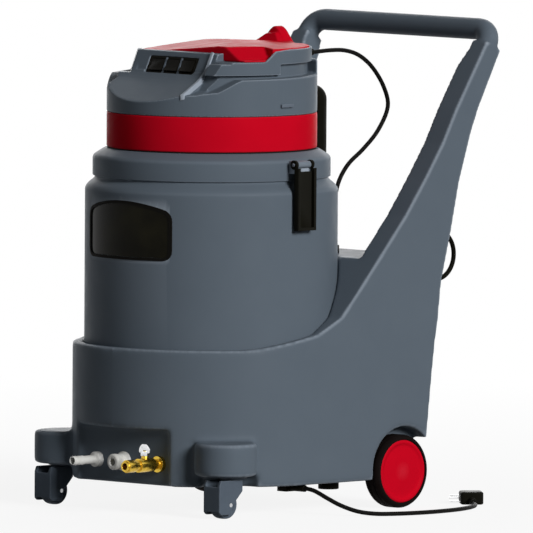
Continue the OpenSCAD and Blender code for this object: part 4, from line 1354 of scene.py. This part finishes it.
    def build(self) -> None:
        """Makes the head from the ring up."""
        self.ring()
        self.cover()
        self.lid()
        self.switches()
        soften("tab", 0.8, SLATE_NYLON, "head", "keeper_left", "keeper_right")
        dress(RUBBER, "head_seal")
        dress(BLACK, "motor_plate", "float_cage")
        dress(ZINC, "vacuum_motor_left", "vacuum_motor_right")
        dress(CHROME, "fan_left", "fan_right")
        dress(FLOAT, "float_ball")
        soften("sleeve", 0.8, BLACK, "head", "lead_gland")
        soften("sleeve", 1, BLACK, "base", "lead_socket")


# ---- latches and inlet


@dataclass
class Latches:
    """The two swing latches with their brackets."""

    def build(self) -> None:
        """Makes each latch and its bracket."""
        for side in Side:
            soften("channel", 1.2, BLACK, None, f"latch_{side.word}")
            soften("lug", 1.2, SLATE_HEAD, "base", f"latch_bracket_{side.word}")


@dataclass
class VacuumInlet:
    """The flange and the swivelling elbow behind the head."""

    def build(self) -> None:
        """Makes the flange and the elbow."""
        soften("plate", 2, BLACK, "head", "inlet_flange")
        elbow = copy_of("inlet_elbow", "inlet_elbow_pipe")
        skinned(elbow, voxel=1.4, passes=4, keep=0.5)
        stand_in(elbow, "inlet", BLACK, "inlet_elbow")


# ---- running gear


@dataclass
class Casters:
    """The two front casters: hooded forks and wheels of grey nylon on dark mounts."""

    wheel_r: float = 25.0
    wheel_w: float = 22.0
    x: float = 209.0
    y: float = -153.0
    trail: float = 22.0

    def wheel(self, side: Side) -> None:
        """A caster wheel with a rounded tread and a hub.

        Args:
            side: The side that it stands on.
        """
        w, r = self.wheel_w, self.wheel_r
        half = [(3.6, 1.5, 0.3), (8, 1.5, 0.6), (8, 2.5, 0.5), (16, 3.5, 1), (17.5, 0.6, 1),
                (r - 1, 0.6, 3)]
        other = [(a, w - b, size) for a, b, size in reversed(half)]
        outline = loop([*half, (r - 0.1, w / 2, 7), *other])
        place = at(side.value * self.x - w / 2, self.y - self.trail, r)
        node = f"caster_wheel_{side.word}"
        stand_in(turned(f"{node}_tread", outline, place, Direction.SIDE, 64), node, SLATE_NYLON, node)

    def build(self) -> None:
        """Makes both casters."""
        for side in Side:
            self.wheel(side)
            node = f"caster_fork_{side.word}"
            fork = copy_of(node, f"{node}_cheeks")
            skinned(fork, voxel=1.1, passes=7, keep=0.6)
            stand_in(fork, f"caster_{side.word}", SLATE_NYLON, node)
            dress(OXIDE, f"caster_mount_{side.word}")
            dress(ZINC, f"caster_axle_{side.word}")


@dataclass
class RearWheels:
    """The two rear wheels on their axle: black tyres round red discs."""

    radius: float = 64.0
    disc_r: float = 55.0
    inner_x: float = 209.0
    outer_x: float = 245.0
    y: float = 231.0
    bore: float = 8.1
    hub_x: float = 204.3

    def tyre(self, side: Side) -> None:
        """A tyre with round shoulders and two grooves round its tread.

        Args:
            side: The side that it stands on.
        """
        a, b, r = self.inner_x, self.outer_x, self.radius
        third = (b - a) / 3
        grooves = [row for x in (a + third, b - third)
                   for row in ((r, x - 1, 0.5), (r - 1.6, x, 0.4), (r, x + 1, 0.5))]
        outline = [(self.disc_r, a, 1), (r - 4, a, 3), (r, a + 5, 3), *grooves,
                   (r, b - 6, 4), (r - 5, b, 4), (self.disc_r, b, 1)]
        self.place("tyre", "ring", outline, side, TYRE)

    def disc(self, side: Side) -> None:
        """The red disc: a shallow dome inside a rounded rim.

        Args:
            side: The side that it stands on.
        """
        b, r = self.outer_x, self.disc_r
        outline = [
            (self.bore, self.hub_x, 0.5), (18, self.hub_x, 1), (18, b - 16, 3), (r - 6, b - 16, 2),
            (r - 6, self.inner_x + 2, 1), (r - 0.05, self.inner_x + 2, 1), (r - 0.05, b - 1.5, 3),
            (r - 5, b - 0.2, 2), (r - 10, b - 3.4, 3), (24, b - 1.4, 8), (0.4, b - 0.6, 0),
            (0.4, b - 11, 0), (self.bore, b - 11, 0.5)]
        self.place("wheel_disc", "face", outline, side, RED)

    def place(self, kind: str, ending: str, outline: Corners, side: Side, finish: Finish) -> None:
        """Turns a wheel piece about the axle, on its own side of the machine.

        Args:
            kind: The first word of the node's name.
            ending: What the piece's name adds.
            outline: Its section, as (radius, x, rounding).
            side: Its side.
            finish: Its finish.
        """
        node = f"{kind}_{side.word}"
        piece = turned(f"{node}_{ending}", loop(outline), at(0, self.y, self.radius),
                       Direction.SIDE, 128)
        if side is Side.LEFT:
            piece.data.transform(Matrix.Scale(-1, 4, (1, 0, 0)))
            piece.data.flip_normals()
        stand_in(piece, f"wheel_{side.word}", finish, node)

    def build(self) -> None:
        """Makes both wheels."""
        for side in Side:
            self.tyre(side)
            self.disc(side)
        dress(ZINC, "rear_axle")


@dataclass
class FrontFittings:
    """The drain nipple, the solution coupler and the brass valve with its lever."""

    panel_y: float = -203.0
    z: float = 89.0
    nipple_x: float = -70.0
    coupler_x: float = -6.0

    def fitting(self, node: str, ending: str, x: float, sides: int, *outline: Place) -> None:
        """A turned fitting of acetal on the panel.

        Args:
            node: The node that it stands for.
            ending: What the piece's name adds.
            x: Where it sits, in millimetres.
            sides: The steps round it.
            *outline: Its section, as (radius, y, rounding).
        """
        piece = turned(f"{node}_{ending}", loop(outline, 3), at(x, self.panel_y, self.z),
                       Direction.FRONT, sides)
        stand_in(piece, "base", ACETAL, node)

    def build(self) -> None:
        """Makes the three fittings."""
        barbs = [row for z in (56, 48, 40) for row in ((8.2, z, 0.3), (7.2, z - 0.5, 0.2))]
        self.fitting(
            "drain_nipple", "barb", self.nipple_x, 64, (5.7, 8, 0.3), (5.7, 64, 0.4), (7.2, 64, 0.5),
            *barbs, (7.6, 14, 1), (10, 12, 1), (13.2, 10, 1), (13.2, 0, 0.5), (5.7, 0, 0.2))
        self.fitting(
            "solution_coupler", "collar", self.coupler_x, 72, (6.5, 10, 0.5), (6.5, 30, 1),
            (11.5, 30, 1), (14, 28, 1.5), (14, 20, 1), (13, 19, 0.5), (13, 14, 0.5), (14, 13, 1),
            (14, 7, 1), (17, 5, 1), (17, 0, 0.5), (3, 0, 0.3), (3, 10, 0.3))
        soften("brass", 0.8, BRASS, "base", "valve_body")
        soften("plate", 0.8, CHROME, None, "valve_lever")


# ---- the whole machine


def main() -> None:
    """Builds the studio, the cords and then the machine from the floor up."""
    logging.basicConfig(level=logging.INFO, format="%(name)s: %(message)s")
    Studio().build()
    MainsCord().build()
    PumpLead().build()
    for kind in (TankBase, RecoveryDrum, MotorHead, Latches, VacuumInlet, Casters, RearWheels,
                 FrontFittings):
        kind().build()
        log.info("%s is done", kind.__name__)


if __name__ == "__main__":
    main()
